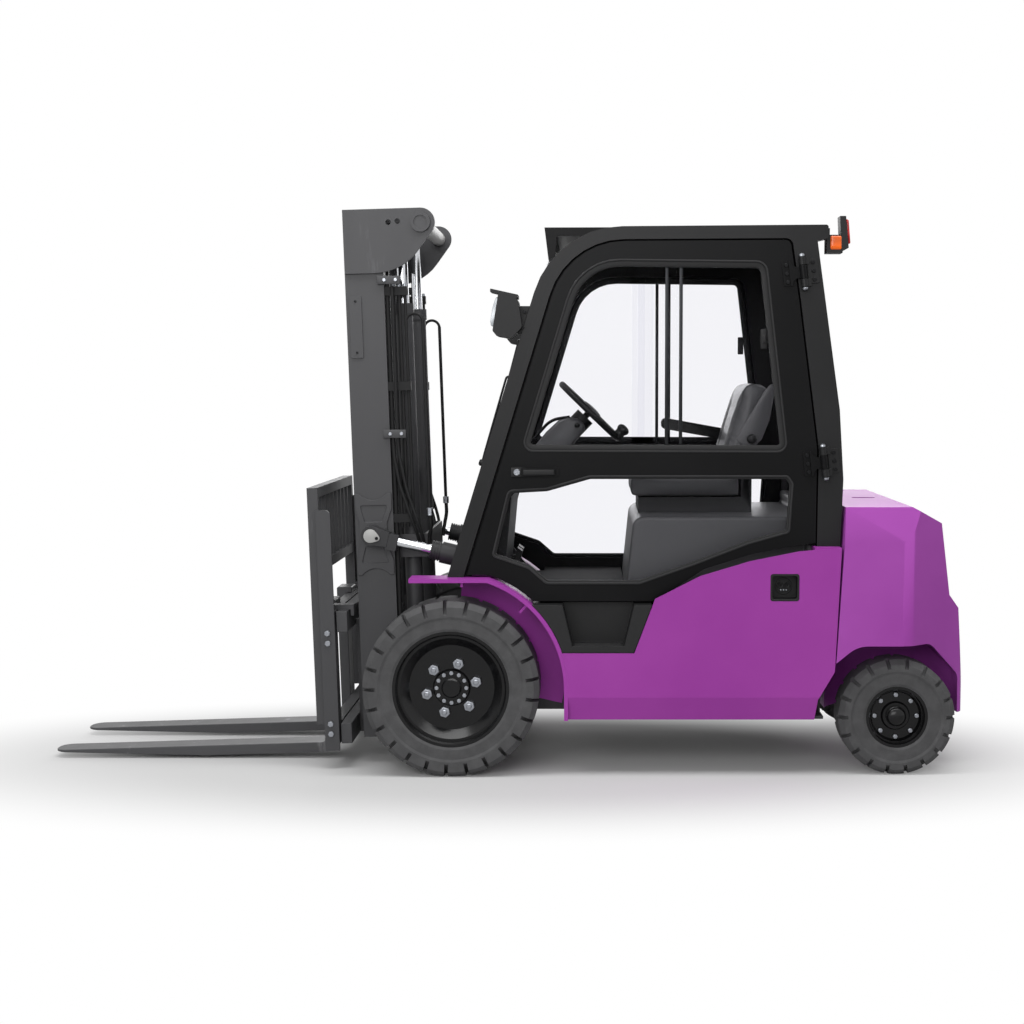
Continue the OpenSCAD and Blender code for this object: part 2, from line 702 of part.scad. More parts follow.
module windscreen() {
  back = [glass_t / cab_l, 0];
  color(clear) on_axle() upright_slice(cab_points([screen_low_shares, screen_high_shares,
    screen_high_shares + back,
    screen_low_shares + back]), -roof_half, roof_half);
}

module front_panel() {
  back = [panel_in_shares, 0];
  p = cab_points([panel_low_shares, screen_low_shares, screen_low_shares + back, panel_low_shares + back]);
  color(black) on_axle() difference() {
    upright_slice(p, -roof_half, roof_half);
    both_sides() block([p[3][0] - tilt_room * 3, tilt_y - tilt_room, p[0][1] - over],
      [p[0][0] + over, tilt_y + tilt_room, p[0][1] + tilt_room * 3]);
  }
}

rear_low_shares = [0.936, 0.205];
rear_high_shares = [0.905, 0.974];

module rear_window() {
  back = [glass_t / cab_l, 0];
  color(clear) on_axle() upright_slice(cab_points([rear_low_shares, rear_high_shares,
    rear_high_shares + back,
    rear_low_shares + back]), -roof_half, roof_half);
}

floor_t = 18;
floor_back = 700;
floor_front = 345;
toe_x = 250;
toe_nose = [-108, 815];
toe_step = 150;
toe_half = roof_half - toe_step;
floor_z = deck_z + deck_t;

module cab_floor() {
  color(black) on_axle() {
    block([-floor_back, -roof_half + seam, floor_z], [-floor_front, roof_half - seam, floor_z + floor_t]);
    upright_slice([[-floor_front - over, floor_z], [-toe_x, floor_z], [toe_nose[0], toe_nose[1] - floor_t],
      toe_nose, [-toe_x, floor_z + floor_t], [-floor_front - over, floor_z + floor_t]], -toe_half,
        toe_half);
  }
}

console_step = 50;
console_half = roof_half - console_step;
console_front = 702;
console_lip = 735;
console_z = 1036;
console_back = 1436;
console_r = 46;
console_wall_z = fender_z + rear_low_shares[1] * cab_h;
console_wall_x = cab_front - rear_low_shares[0] * cab_l;

module seat_console() {
  color(charcoal) on_axle() {
    upright_slice(rounded([[-console_front, floor_z], [-console_lip, console_z], [-console_back, console_z],
      [-console_back, floor_z]], [0, console_r, 0, 0]), -console_half, console_half);
    block([console_wall_x - glass_t, -roof_half + seam, floor_z],
      [-console_back, roof_half - seam, console_wall_z]);
  }
}

seat_half = 245;
seat_x0 = 720;
seat_l = 470;
seat_z = 1100;
seat_t = 115;
seat_rear_share = 0.9;
seat_r = [20, 40, 20, 10];
mount_step = 55;
mount_half = seat_half - mount_step;
mount_front_in = 40;
mount_rear_out = 50;
back_low = [-1092, 1218];
back_lean = 17;
back_h = 400;
back_t = 120;
back_plate = 14;
back_plate_share = 0.6;
back_r = [20, 50, 40, 10];
seat_gap = 5;

module at_back() { translate([back_low[0], 0, back_low[1]]) rotate([0, -back_lean, 0]) children(); }

module seat_mount() {
  rear = -seat_x0 - seat_l;
  color(charcoal) on_axle() {
    block([rear - mount_rear_out, -mount_half, console_z],
      [-seat_x0 - mount_front_in, mount_half, seat_z - run]);
    block([rear - mount_rear_out, -mount_half, console_z],
      [rear - seat_gap, mount_half, seat_z + seat_t - seat_gap]);
    at_back() block([-back_t - back_plate, -mount_half, -back_plate],
      [-back_t - run, mount_half, back_h * back_plate_share]);
  }
}

module seat_cushion() {
  rear = -seat_x0 - seat_l;
  color(cloth) on_axle() upright_slice(rounded([[-seat_x0, seat_z], [-seat_x0, seat_z + seat_t],
    [rear, seat_z + seat_t * seat_rear_share], [rear, seat_z]], seat_r), -seat_half, seat_half);
}

module seat_back() {
  color(cloth) on_axle() at_back() upright_slice(rounded([[0, 0], [0, back_h], [-back_t, back_h],
    [-back_t, back_t * tan(back_lean)]], back_r), -seat_half, seat_half);
}

arm_gap = 17;
arm_w = 68;
arm_y0 = seat_half + arm_gap;
arm_y1 = arm_y0 + arm_w;
arm_front = [-877, 1429];
arm_back = [-1284, 1356];
arm_bar = 32;
arm_t = 50;
arm_r = 20;
arm_root_share = 0.4;

module armrest() {
  root = back_h * arm_root_share;
  drop = [0, arm_t];
  color(black) on_axle() mirror([0, 1, 0]) {
    upright_slice(rounded([arm_front, arm_front - drop, arm_back - drop, arm_back], [arm_r, arm_r, 0, 0]),
      arm_y0, arm_y1);
    at_back() block([-back_t - back_plate - arm_bar, mount_half - arm_t, root - arm_bar],
      [-back_t - back_plate, arm_y1, root]);
  }
}

dash_step = 160;
dash_half = roof_half - dash_step;
wheel_mid = [-557, 1459];
wheel_tip = 44;
column_r = 44;
column_l = 330;
column_gap = 30;
spindle_r = 14;
stalk_r = 6;
stalk_l = 170;
stalk_drop = 78;
stalk_knob_r = 12;
// hood of the dash behind the windscreen's foot, from its front edge back
dash_hood = [[-46, 140], [-215, 150], [-230, 100]];
dash_hood_r = [30, 20, 20];
// rear face of the dash over the toe board
dash_knee = [-232, 1111];
dash_foot_x = -200;
toe_rise = (toe_nose[1] - floor_z - floor_t) / (toe_x + toe_nose[0]);
dash_foot_z = floor_z + floor_t + (toe_x + dash_foot_x) * toe_rise;
function dash_face(z) = dash_foot_x + (dash_knee[0] - dash_foot_x) * (z - dash_foot_z)
  / (dash_knee[1] - dash_foot_z);

module at_wheel() { translate([wheel_mid[0], 0, wheel_mid[1]]) rotate([0, -wheel_tip, 0]) children(); }

module dash() {
  p = cab_points([panel_low_shares + [panel_in_shares, 0], screen_low_shares + [panel_in_shares, 0]]);
  hood = [for (d = dash_hood) p[1] + d];
  color(black) on_axle() {
    upright_slice(rounded(concat([[p[0][0], toe_nose[1] + seam / 2], p[1]], hood,
      [dash_knee, [dash_foot_x, dash_foot_z],
      toe_nose]), concat([0, 0], dash_hood_r, [0, 0, 0])), -dash_half, dash_half);
    at_wheel() {
      translate([0, 0, -column_l]) cylinder(r = column_r, h = column_l - column_gap, $fn = 48);
      translate([0, 0, -column_gap - over]) cylinder(r = spindle_r, h = column_gap + over, $fn = 32);
      rod_y(0, -stalk_drop, stalk_r, 0, stalk_l);
      translate([0, stalk_l, -stalk_drop]) sphere(r = stalk_knob_r, $fn = 32);
    }
  }
}

pedal_w = 70;
pedal_y = [-150, -40];
pedal_stem = [8, 16, 40];
pedal_stem_z = 820;
// pedal plate's corners
pedal_plate = [[-262, 850], [-240, 866], [-210, 760], [-230, 750]];

module pedals() {
  low_z = pedal_stem_z - pedal_stem[1];
  tip = dash_face((pedal_stem_z + low_z) / 2) - pedal_stem[2];
  color(black) on_axle() for (y = pedal_y) {
    upright_slice(pedal_plate, y - pedal_w / 2, y + pedal_w / 2);
    upright_slice([[dash_face(pedal_stem_z), pedal_stem_z], [tip, pedal_stem_z], [tip, low_z],
      [dash_face(low_z), low_z]], y - pedal_stem[0], y + pedal_stem[0]);
  }
}

rim_bar_r = 14;
wheel_hub_r = 42;
spoke_w = 36;
spoke_t = 14;
spoke_angles = [0, 120, 240];
knob_angle = 160;
knob_r = 22;
knob_h = 50;

module steering_wheel() {
  ring_r = steering_d / 2 - rim_bar_r;
  color(black) on_axle() at_wheel() difference() {
    union() {
      rotate_extrude($fn = 96) translate([ring_r, 0]) circle(r = rim_bar_r, $fn = 24);
      translate([0, 0, -column_gap / 2]) cylinder(r = wheel_hub_r, h = column_gap / 2 + spoke_t, $fn = 48);
      for (a = spoke_angles) rotate([0, 0, a])
        block([0, -spoke_w / 2, -spoke_t / 2], [ring_r, spoke_w / 2, spoke_t / 2]);
      rotate([0, 0, knob_angle]) translate([ring_r, 0, 0]) cylinder(r = knob_r, h = knob_h, $fn = 32);
    }
    translate([0, 0, -column_gap]) cylinder(r = spindle_r + run, h = column_gap + run, $fn = 32);
  }
}

lamp_in = 62;
lamp_w = 96;
lamp_y0 = cab_w / 2 - lamp_in;
lamp_y1 = lamp_y0 + lamp_w;
lamp_foot_z = [1775, 1885];
lamp_lens_in = 8;
// work lamp's body from its top front corner round to its top rear corner, and the hood over it
lamp_body = [[-196, 1936], [-172, 1786], [-190, 1764], [-246, 1754], [-290, 1800], [-276, 1900],
  [-262, 1922]];
lamp_body_r = [0, 10, 14, 16, 20, 16, 0];
lamp_hood = [[-164, 1952], [-164, 1938], [-274, 1912], [-274, 1928]];
// lens pocket in the body's front face
lamp_pocket = [[-204, 1924], [-184, 1800], [-100, 1800], [-100, 1924]];
pillar_slope = cab_outer_shares[1][0] * cab_l / (cab_outer_shares[1][1] * cab_h);
function pillar_x(z) = cab_front - (z - fender_z) * pillar_slope;

module work_lamps() {
  shelf = lamp_body[4][0] + over * 4;
  color(black) on_axle() both_sides() {
    difference() {
      upright_slice(rounded(lamp_body, lamp_body_r), lamp_y0, lamp_y1);
      upright_slice(lamp_pocket, lamp_y0 + lamp_lens_in, lamp_y1 - lamp_lens_in);
    }
    upright_slice(lamp_hood, lamp_y0, lamp_y1);
    upright_slice([[shelf, lamp_foot_z[0]], [shelf, lamp_foot_z[1]],
      [pillar_x(lamp_foot_z[1]), lamp_foot_z[1]],
      [pillar_x(lamp_foot_z[0]), lamp_foot_z[0]]], lamp_y0 + over, cab_w / 2 - over);
  }
}

tail_lamp_in = 110;
tail_lamp_w = 70;
tail_lamp_y0 = cab_w / 2 - tail_lamp_in;
tail_lamp_y1 = tail_lamp_y0 + tail_lamp_w;
tail_lamp_foot = 12;
tail_lamp_shelf_t = 10;
// shelf, lamp and upright lens plate of a rear lamp behind and below the roof rail's end
tail_lamp_drop = 98;
tail_lamp_l = 52;
tail_lamp_h = 62;
tail_plate_t = 24;
tail_plate_rise = 38;

module tail_lamps() {
  rail = cab_points([cab_outer_shares[2], cab_outer_shares[3]]);
  x0 = rail[1][0];
  low = rail[0][1] - tail_lamp_drop;
  back = x0 - tail_lamp_foot;
  end = back - tail_lamp_l;
  color(black) on_axle() both_sides() {
    upright_slice([[x0, rail[1][1]], rail[0] - [0, rail_r], [back, rail[0][1] - rail_r], [back, low],
      [x0, low]],
      tail_lamp_y0, tail_lamp_y1);
    block([end, tail_lamp_y0, low - tail_lamp_shelf_t], [x0, tail_lamp_y1, low]);
    block([end, tail_lamp_y0 + seam, low - over], [back + over, tail_lamp_y1 - seam, low + tail_lamp_h]);
    upright_slice([[end - tail_plate_t, low + tail_lamp_shelf_t],
      [end - tail_plate_t / 2, rail[0][1] + tail_plate_rise],
      [end + tail_plate_t / 2, rail[0][1] + tail_plate_rise], [end + over, low - over]], tail_lamp_y0,
        tail_lamp_y1);
  }
}

// doors

module door_blank(y0, y1) {
  top = cab_points(door_shares);
  back = cab_points(door_rear_shares);
  foot = cab_points(door_foot_shares);
  r = fender_r + door_gap;
  z0 = step_top + door_gap;
  z1 = fender_z + door_gap;
  low = arc([0, axle_z], r, 180 - asin((z1 - axle_z) / r), 180 - asin((z0 - axle_z) / r), arch_steps);
  head = rounded(concat(top, [[top[2][0] - over, z1], [-wheelbase / 2, z0]], back),
    [door_corner_r, door_bend, 0, 0, 0, 0, 0, 0]);
  upright_slice(concat([for (i = [0 : len(head) - 5]) head[i]], low, [[foot[0][0] + over * 4, z0]], foot,
    back), y0, y1);
}

handle_x = 242;
handle_z = 1225;
handle_l = 192;
handle_h = 40;
handle_t = 7;
handle_r = 10;
lock_l = 46;
lock_t = 18;
grip_t = 24;
grip_h = [34, 24];
grip_end = 16;

module door_handle(y1) {
  x0 = -handle_x - handle_l;
  grip_x = -handle_x - lock_l;
  tail = x0 + grip_end;
  upright_slice(rounded(framed([x0, handle_z - handle_h / 2], [-handle_x, handle_z + handle_h / 2]),
    handle_r),
    y1 - over, y1 + handle_t);
  upright_slice(rounded(framed([grip_x, handle_z - handle_h / 2], [-handle_x, handle_z + handle_h / 2]),
    handle_r),
    y1 - over, y1 + lock_t);
  difference() {
    upright_slice([[grip_x + over, handle_z - grip_h[0] / 2], [grip_x + over, handle_z + grip_h[0] / 2],
      [tail, handle_z + grip_h[1] / 2], [tail, handle_z - grip_h[1] / 2]], y1 - over, y1 + grip_t);
    block([tail + grip_end, y1 + handle_t, handle_z - handle_h],
      [grip_x - grip_end, y1 + lock_t - over, handle_z + handle_h]);
  }
}

module door_hinge() {
  leaf = hinge_arm + hinge_leaf_l;
  flare_u = hinge_sleeve_r + over;
  difference() {
    union() {
      translate([0, 0, -hinge_sleeve_h / 2]) cylinder(r = hinge_sleeve_r, h = hinge_sleeve_h, $fn = 32);
      upright_slice(concat([[0, -hinge_waist], [0, hinge_waist]],
        arc([flare_u, hinge_leaf_h / 2], hinge_flare_r, 270, 360, round_steps),
        arc([flare_u, -hinge_leaf_h / 2], hinge_flare_r, 0, 90, round_steps)),
        -hinge_reach + hinge_leaf_t, -hinge_reach + hinge_leaf_t * 2);
      upright_slice(rounded(framed([hinge_arm, -hinge_leaf_h / 2], [leaf, hinge_leaf_h / 2]), hinge_leaf_r),
        -hinge_reach - over, -hinge_reach + hinge_leaf_t);
      block([hinge_arm, -hinge_reach - over, -hinge_leaf_h / 2],
        [hinge_arm + hinge_leaf_t, -hinge_reach + hinge_leaf_t * 2, hinge_leaf_h / 2]);
    }
    translate([0, 0, -hinge_sleeve_h]) cylinder(r = hinge_pin_r + run, h = hinge_sleeve_h * 2, $fn = 32);
  }
}

module door(side) {
  y1 = cab_w / 2;
  high = rounded(cab_points(high_window_shares), high_window_r);
  low = rounded(cab_points(low_window_shares), low_window_r);
  color(black) on_axle() hand(side) {
    difference() {
      door_blank(y1 - door_t, y1);
      upright_slice(high, y1 - door_t - over, y1 + over);
      upright_slice(low, y1 - door_t - over, y1 + over);
    }
    for (p = [hinge_high, hinge_low]) at_hinge(p) door_hinge();
    door_handle(y1);
  }
}

pane_y = 26;
pane_step = 8;
pane_lap = 30;
pane_mid_share = 0.5;

module door_glass(side) {
  y1 = cab_w / 2 - pane_y;
  high = rounded(cab_points(high_window_shares), high_window_r);
  low = rounded(cab_points(low_window_shares), low_window_r);
  mid = cab_front - pane_mid_share * cab_l;
  color(clear) on_axle() hand(side) {
    intersection() {
      upright_slice(high, y1, y1 + glass_t);
      block([mid - pane_lap, 0, 0], [0, cab_w, fender_z + cab_h]);
    }
    intersection() {
      upright_slice(high, y1 - pane_step, y1 - pane_step + glass_t);
      block([-wheelbase, 0, 0], [mid + pane_lap, cab_w, fender_z + cab_h]);
    }
    upright_slice(low, y1, y1 + glass_t);
  }
}

// mast, drawn upright about the tilt axis

web_t = 18;
flange_t = 20;
flange_w = 62;
mast_rear = mast_front - upright_d;
cross_t = 24;
cross_in = 37;
cross_half = mast_w / 2 - cross_in;
cross_h = 80;
cross_shares = [0.44, 0.93];
cross_low = -140;
foot_step = 36;
foot_t = 34;
foot_y1 = mast_w / 2 - foot_step;
foot_y0 = foot_y1 - foot_t;
foot_r = 106;
foot_top = 40;
// bent plate over the uprights' heads, with an ear for the head tube
wrap_t = 14;
wrap_drop = 258;
wrap_low = mast_top - wrap_drop;
wrap_bend = 32;
wrap_r = 226;
wrap_angle = 218;
wrap_hole_u = [203, 166];
wrap_hole_drop = [55, 52];
wrap_holes = [for (i = [0 : 1]) [wrap_hole_u[i], mast_top - wrap_hole_drop[i]]];
wrap_hole_r = 11;
ear_u = 72;
ear_drop = 58;
ear_mid = [ear_u, mast_top - ear_drop];
ear_disc_r = 58;
ear_boss_r = 40;
ear_dimple_r = 27;
ear_boss_h = 12;
ear_dimple_h = 4;
tube_r = 30;
guard_u = [326, 376];
guard_w = [1338, 1590];
guard_t = 6;
// tie behind the lift cylinders
tie_u = [100, 112];
tie_w = [510, 606];
tie_in = 48;
tie_t = 12;

module outer_mast() {
  y1 = mast_w / 2;
  wrap_u = mast_front - seam;
  channel = [[mast_rear, y1], [mast_front, y1], [mast_front, y1 - flange_w],
    [mast_front - flange_t, y1 - flange_w],
    [mast_front - flange_t, y1 - web_t], [mast_rear + flange_t, y1 - web_t],
      [mast_rear + flange_t, y1 - flange_w],
    [mast_rear, y1 - flange_w]];
  wrap = concat([[wrap_u, mast_top], [wrap_u, wrap_low]],
    arc([mast_rear + wrap_bend, wrap_low + wrap_r], wrap_r, 270, wrap_angle, round_steps),
    arc(ear_mid, ear_disc_r, wrap_angle, 90, arch_steps));
  boss_y = y1 + wrap_t + ear_boss_h;
  tie_y = y1 - tie_in;
  color(mast_grey) on_mast() {
    both_sides() {
      flat_slice(channel, -mast_foot, mast_top);
      difference() {
        union() {
          rod_y(0, 0, foot_r, foot_y0, foot_y1);
          upright_slice([[0, foot_r], [mast_rear + flange_t / 2, foot_top],
            [mast_rear + flange_t / 2, -mast_foot + over],
            [0, -foot_r]], foot_y0, foot_y1);
        }
        rod_y(0, 0, axle_tube_r + run, foot_y0 - over, foot_y1 + over);
      }
      difference() {
        union() {
          upright_slice(wrap, y1, y1 + wrap_t);
          rod_y(ear_mid[0], ear_mid[1], ear_boss_r, y1, boss_y);
        }
        rod_y(ear_mid[0], ear_mid[1], ear_dimple_r, boss_y - ear_dimple_h, boss_y + over);
        for (p = wrap_holes) rod_y(p[0], p[1], wrap_hole_r, y1 - over, y1 + wrap_t + over);
      }
      upright_slice(rounded(framed([guard_u[0], guard_w[0]], [guard_u[1], guard_w[1]]), guard_t), y1,
        y1 + guard_t);
      block([tie_u[0], tie_y - tie_t, tie_w[0]], [mast_rear + flange_t / 2, tie_y, tie_w[1]]);
    }
    block([tie_u[0], -tie_y, tie_w[0]], [tie_u[1], tie_y, tie_w[1]]);
    for (s = cross_shares)
      block([mast_rear - cross_t, -cross_half, s * mast_top - cross_h],
        [mast_rear, cross_half, s * mast_top]);
    block([mast_rear - cross_t, -cross_half, cross_low - cross_h], [mast_rear, cross_half, cross_low]);
  }
}

module head_tube() {
  color(pale_grey) on_mast() rod_y(ear_mid[0], ear_mid[1], tube_r, -mast_w / 2, mast_w / 2);
}

pin_u = 318;
pin_w = 614;
bracket_t = 9;
bracket_h = 338;
bracket_in = 4;
bracket_waist = 60;
bracket_nose = 15;
bracket_neck = 46;
bracket_shoulder = 62;
bracket_dip = 28;
bracket_dip_half = 58;
bracket_boss_r = 46;
bracket_rim = 22;
bracket_sink = 5;

module mast_brackets() {
  y1 = mast_w / 2;
  u0 = mast_rear + bracket_in;
  u1 = mast_front - bracket_in;
  mid = (u0 + u1) / 2;
  w0 = pin_w - bracket_h / 2;
  w1 = pin_w + bracket_h / 2;
  dip_r = (pow(bracket_dip_half, 2) + pow(bracket_dip, 2)) / (2 * bracket_dip);
  half = asin(bracket_dip_half / dip_r);
  rise = dip_r - bracket_dip;
  rear = pin_u - bracket_waist;
  nose = u1 - bracket_nose;
  outline = concat([[u1, w1]], arc([mid, w1 + rise], dip_r, 270 + half, 270 - half, round_steps),
    [[u0, w1], [u0, w1 - bracket_shoulder], [rear, pin_w + bracket_neck], [rear, pin_w - bracket_neck],
      [u0, w0 + bracket_shoulder], [u0, w0]],
    arc([mid, w0 - rise], dip_r, 90 + half, 90 - half, round_steps),
    [[u1, w0], [u1, w0 + bracket_shoulder], [nose, pin_w - bracket_neck], [nose, pin_w + bracket_neck],
      [u1, w1 - bracket_shoulder]]);
  pocket = [[u1 - bracket_rim, w1 - bracket_dip - bracket_rim],
    [u0 + bracket_rim, w1 - bracket_dip - bracket_rim],
    [u0 + bracket_rim, w1 - bracket_shoulder], [rear + bracket_rim, pin_w + bracket_boss_r + over],
    [nose - bracket_rim, pin_w + bracket_boss_r + over], [u1 - bracket_rim, w1 - bracket_shoulder]];
  color(mast_grey) on_mast() both_sides() {
    difference() {
      union() {
        upright_slice(outline, y1, y1 + bracket_t);
        rod_y(pin_u, pin_w, bracket_boss_r, y1, y1 + bracket_t);
      }
      upright_slice(rounded(pocket, bracket_sink), y1 + bracket_t - bracket_sink, y1 + bracket_t + over);
      translate([0, 0, 2 * pin_w]) mirror([0, 0, 1])
        upright_slice(rounded(pocket, bracket_sink), y1 + bracket_t - bracket_sink, y1 + bracket_t + over);
    }
    rod_y(pin_u, pin_w, tilt_pin_r, y1, tilt_y + tilt_eye_w / 2 + over);
  }
}

lift_gap = 4;
lift_u = mast_rear - cross_t - lift_tube_d / 2 - lift_gap;
lift_step = 115;
lift_y = mast_w / 2 - lift_step;
lift_wall = 8;
lift_lift = 20;
lift_low = cross_low - cross_h + lift_lift;
lift_dead = 160;
lift_head = lift_low + lift_stroke + lift_dead;
lift_collar_t = 5;
lift_collar_d = lift_tube_d + 2 * lift_collar_t;
lift_collar_h = 46;
seat_plate = 20;

module lift_cylinders() {
  clamp_y = lift_tube_d / 4;
  mid_w = cross_shares[0] * mast_top - cross_h;
  color(mast_grey) on_mast() both_sides() difference() {
    union() {
      translate([lift_u, lift_y, lift_low]) cylinder(d = lift_tube_d, h = lift_head - lift_low, $fn = 64);
      translate([lift_u, lift_y, lift_head - lift_collar_h])
        cylinder(d = lift_collar_d, h = lift_collar_h, $fn = 64);
      block([lift_u, lift_y - clamp_y, lift_low],
        [mast_rear - cross_t, lift_y + clamp_y, lift_low + cross_h / 2]);
      block([lift_u, lift_y - clamp_y, mid_w],
        [mast_rear - cross_t, lift_y + clamp_y, mid_w + cross_h / 2]);
    }
    translate([lift_u, lift_y, lift_low + seat_plate])
      cylinder(d = lift_tube_d - lift_wall * 2, h = lift_head - lift_low, $fn = 64);
  }
}

hose_r = 10;
hose_in = 18;
hose_y = mast_w / 2 - hose_in;
hose_w = [160, 1640];
pipe_r = 7;
pipe_pitch = 24;
pipes = 3;
pipe_w = [640, 1600];
clamp_shares = [0.34, 0.62, 0.82];
clamp_h = 36;
clamp_wall = 4;
// loop of hose behind the pipes
loop_r = 6;
loop_bend = 34;
loop_w = [690, 1480];

module mast_hoses() {
  u = mast_rear - hose_r - run;
  last = u - pipes * pipe_pitch;
  loop_u = last - loop_bend * 2;
  color(rubber) on_mast() both_sides() {
    translate([u, hose_y, hose_w[0]]) cylinder(r = hose_r, h = hose_w[1] - hose_w[0], $fn = 24);
    for (i = [1 : pipes])
      translate([u - i * pipe_pitch, hose_y, pipe_w[0]])
        cylinder(r = pipe_r, h = pipe_w[1] - pipe_w[0], $fn = 24);
    for (s = clamp_shares)
      block([last - pipe_r - clamp_wall, hose_y - hose_r - clamp_wall, s * mast_top],
        [mast_rear, hose_y + hose_r + clamp_wall, s * mast_top + clamp_h]);
    translate([last - loop_bend, hose_y, loop_w[1]]) rotate([90, 0, 0])
      rotate_extrude(angle = 180, $fn = 48) translate([loop_bend, 0]) circle(r = loop_r, $fn = 24);
    translate([loop_u, hose_y, loop_w[0]]) cylinder(r = pipe_r, h = loop_w[1] - loop_w[0] + over, $fn = 24);
  }
}

inner_gap = 30;
inner_rear = mast_rear + inner_gap;
inner_front = mast_front - inner_gap;
inner_in = 32;
inner_y = mast_w / 2 - inner_in;
inner_web = 18;
inner_flange = 16;
inner_reach = 63;
inner_lift = 12;
inner_foot = mast_foot - inner_lift;
head_drop = 52;
head_w0 = mast_top - head_drop;
head_t = 25;
foot_bar_lap = 25;
roller_r = upright_d / 2 - flange_t - run;
roller_t = 12;

module inner_mast() {
  channel = [[inner_rear, inner_y], [inner_front, inner_y], [inner_front, inner_y - inner_reach],
    [inner_front - inner_flange, inner_y - inner_reach], [inner_front - inner_flange, inner_y - inner_web],
    [inner_rear + inner_flange, inner_y - inner_web], [inner_rear + inner_flange, inner_y - inner_reach],
    [inner_rear, inner_y - inner_reach]];
  bar_y = inner_y - inner_reach + foot_bar_lap;
  color(mast_grey) on_mast() {
    both_sides() {
      flat_slice(channel, -inner_foot, head_w0 + head_t);
      rod_y((inner_rear + inner_front) / 2, -inner_foot + roller_r * 2, roller_r, inner_y,
        inner_y + roller_t);
      block([lift_u - lift_rod_d, lift_y - lift_rod_d, head_w0],
        [inner_rear + inner_flange, lift_y + lift_rod_d, head_w0 + head_t]);
    }
    block([inner_rear, -inner_y, head_w0], [inner_front, inner_y, head_w0 + head_t]);
    block([inner_rear - cross_t, -bar_y, -cross_h], [inner_rear, bar_y, 0]);
  }
}

module lift_rods() {
  foot = lift_low + seat_plate * 3;
  color(chrome) on_mast() both_sides() translate([lift_u, lift_y, foot])
    cylinder(d = lift_rod_d, h = head_w0 - foot, $fn = 48);
}

sheave_r = 54;
sheave_t = 30;
sheave_share = 0.4;
sheave_y = sheave_share * (inner_y - inner_reach);
sheave_u = (inner_rear + inner_front) / 2;
sheave_drop = 70;
sheave_w = head_w0 - sheave_drop;
yoke_t = 10;
pin_r = 14;

module chain_sheaves() {
  half = sheave_t / 2;
  color(charcoal) on_mast() both_sides() {
    rod_y(sheave_u, sheave_w, sheave_r, sheave_y - half, sheave_y + half);
    rod_y(sheave_u, sheave_w, pin_r, sheave_y - half - yoke_t * 2, sheave_y + half + yoke_t * 2);
    for (end = [-1, 1]) translate([0, sheave_y + end * (half + yoke_t * 1.5), 0])
      block([sheave_u - pin_r * 2, -yoke_t / 2, sheave_w - pin_r * 2],
        [sheave_u + pin_r * 2, yoke_t / 2, head_w0]);
  }
}

chain_t = 14;
chain_w = 26;
chain_low = 330;
chain_back_low = 300;

module lift_chains() {
  y0 = sheave_y - chain_w / 2;
  y1 = sheave_y + chain_w / 2;
  color(charcoal) on_mast() both_sides() {
    block([sheave_u + sheave_r, y0, chain_low], [sheave_u + sheave_r + chain_t, y1, sheave_w]);
    block([sheave_u - sheave_r - chain_t, y0, chain_back_low], [sheave_u - sheave_r, y1, sheave_w]);
    difference() {
      intersection() {
        rod_y(sheave_u, sheave_w, sheave_r + chain_t, y0, y1);
        block([sheave_u - sheave_r * 2, 0, sheave_w],
          [sheave_u + sheave_r * 2, mast_w, sheave_w + sheave_r * 2]);
      }
      rod_y(sheave_u, sheave_w, sheave_r, y0 - over, y1 + over);
    }
  }
}

bar_t = 44;
bar_h = 84;
bar_top = 309;
bar_low = -236;
shift_gap = 6;
shift_t = 48;
shift_rear = fork_face - fork_t - shift_t;
bar_front = shift_rear - shift_gap;
plate_gap = 43;
plate_t = 27;
plate_y1 = inner_y - inner_reach - plate_gap;
plate_y0 = plate_y1 - plate_t;
carriage_roller_r = (inner_front - inner_rear) / 2 - inner_flange - run;
carriage_roller_drop = 170;
carriage_roller_rise = 200;
carriage_roller_w = [-carriage_roller_drop, carriage_roller_rise];
plate_top = carriage_roller_w[1] + carriage_roller_r + pin_r;

module carriage() {
  half = carriage_w / 2;
  u_mid = (inner_rear + inner_front) / 2;
  color(mast_grey) on_mast() {
    block([bar_front - bar_t, -half, bar_top - bar_h], [bar_front, half, bar_top]);
    block([bar_front - bar_t, -half, bar_low], [bar_front, half, bar_low + bar_h]);
    both_sides() {
      block([u_mid - carriage_roller_r, plate_y0, bar_low], [bar_front - bar_t, plate_y1, plate_top]);
      for (w = carriage_roller_w) {
        rod_y(u_mid, w, pin_r, plate_y0, inner_y - inner_web - over);
        rod_y(u_mid, w, carriage_roller_r, inner_y - inner_reach + over, inner_y - inner_web - over / 2);
      }
    }
  }
}

hook_t = 20;
hook_drop = 26;
hook_lip = 13;

module side_shifter() {
  half = carriage_w / 2;
  hook_low = bar_top + run;
  lip_u = bar_front - bar_t - shift_gap;
  front = shift_rear + shift_t;
  hook_y = half - fork_w;
  color(mast_grey) on_mast() {
    block([shift_rear, -half, bar_top - bar_h], [front, half, bar_top]);
    block([shift_rear, -half, bar_low], [front, half, bar_low + bar_h]);
    both_sides() {
      block([shift_rear, half - fork_w / 2, bar_low], [front, half, bar_top]);
      block([lip_u - hook_lip, hook_y, hook_low], [front, half - fork_w / 2, hook_low + hook_t]);
      block([shift_rear, hook_y, bar_top - over], [front, half - fork_w / 2, hook_low + hook_t]);
      block([lip_u - hook_lip, hook_y, hook_low - hook_drop],
        [lip_u, half - fork_w / 2, hook_low + hook_t]);
    }
  }
}

fork_tip_t = 9;
fork_taper_share = 0.44;
fork_nose_share = 0.42;
fork_top = 336;
fork_heel_r = 40;
fork_root_r = 18;
fork_head_r = 8;

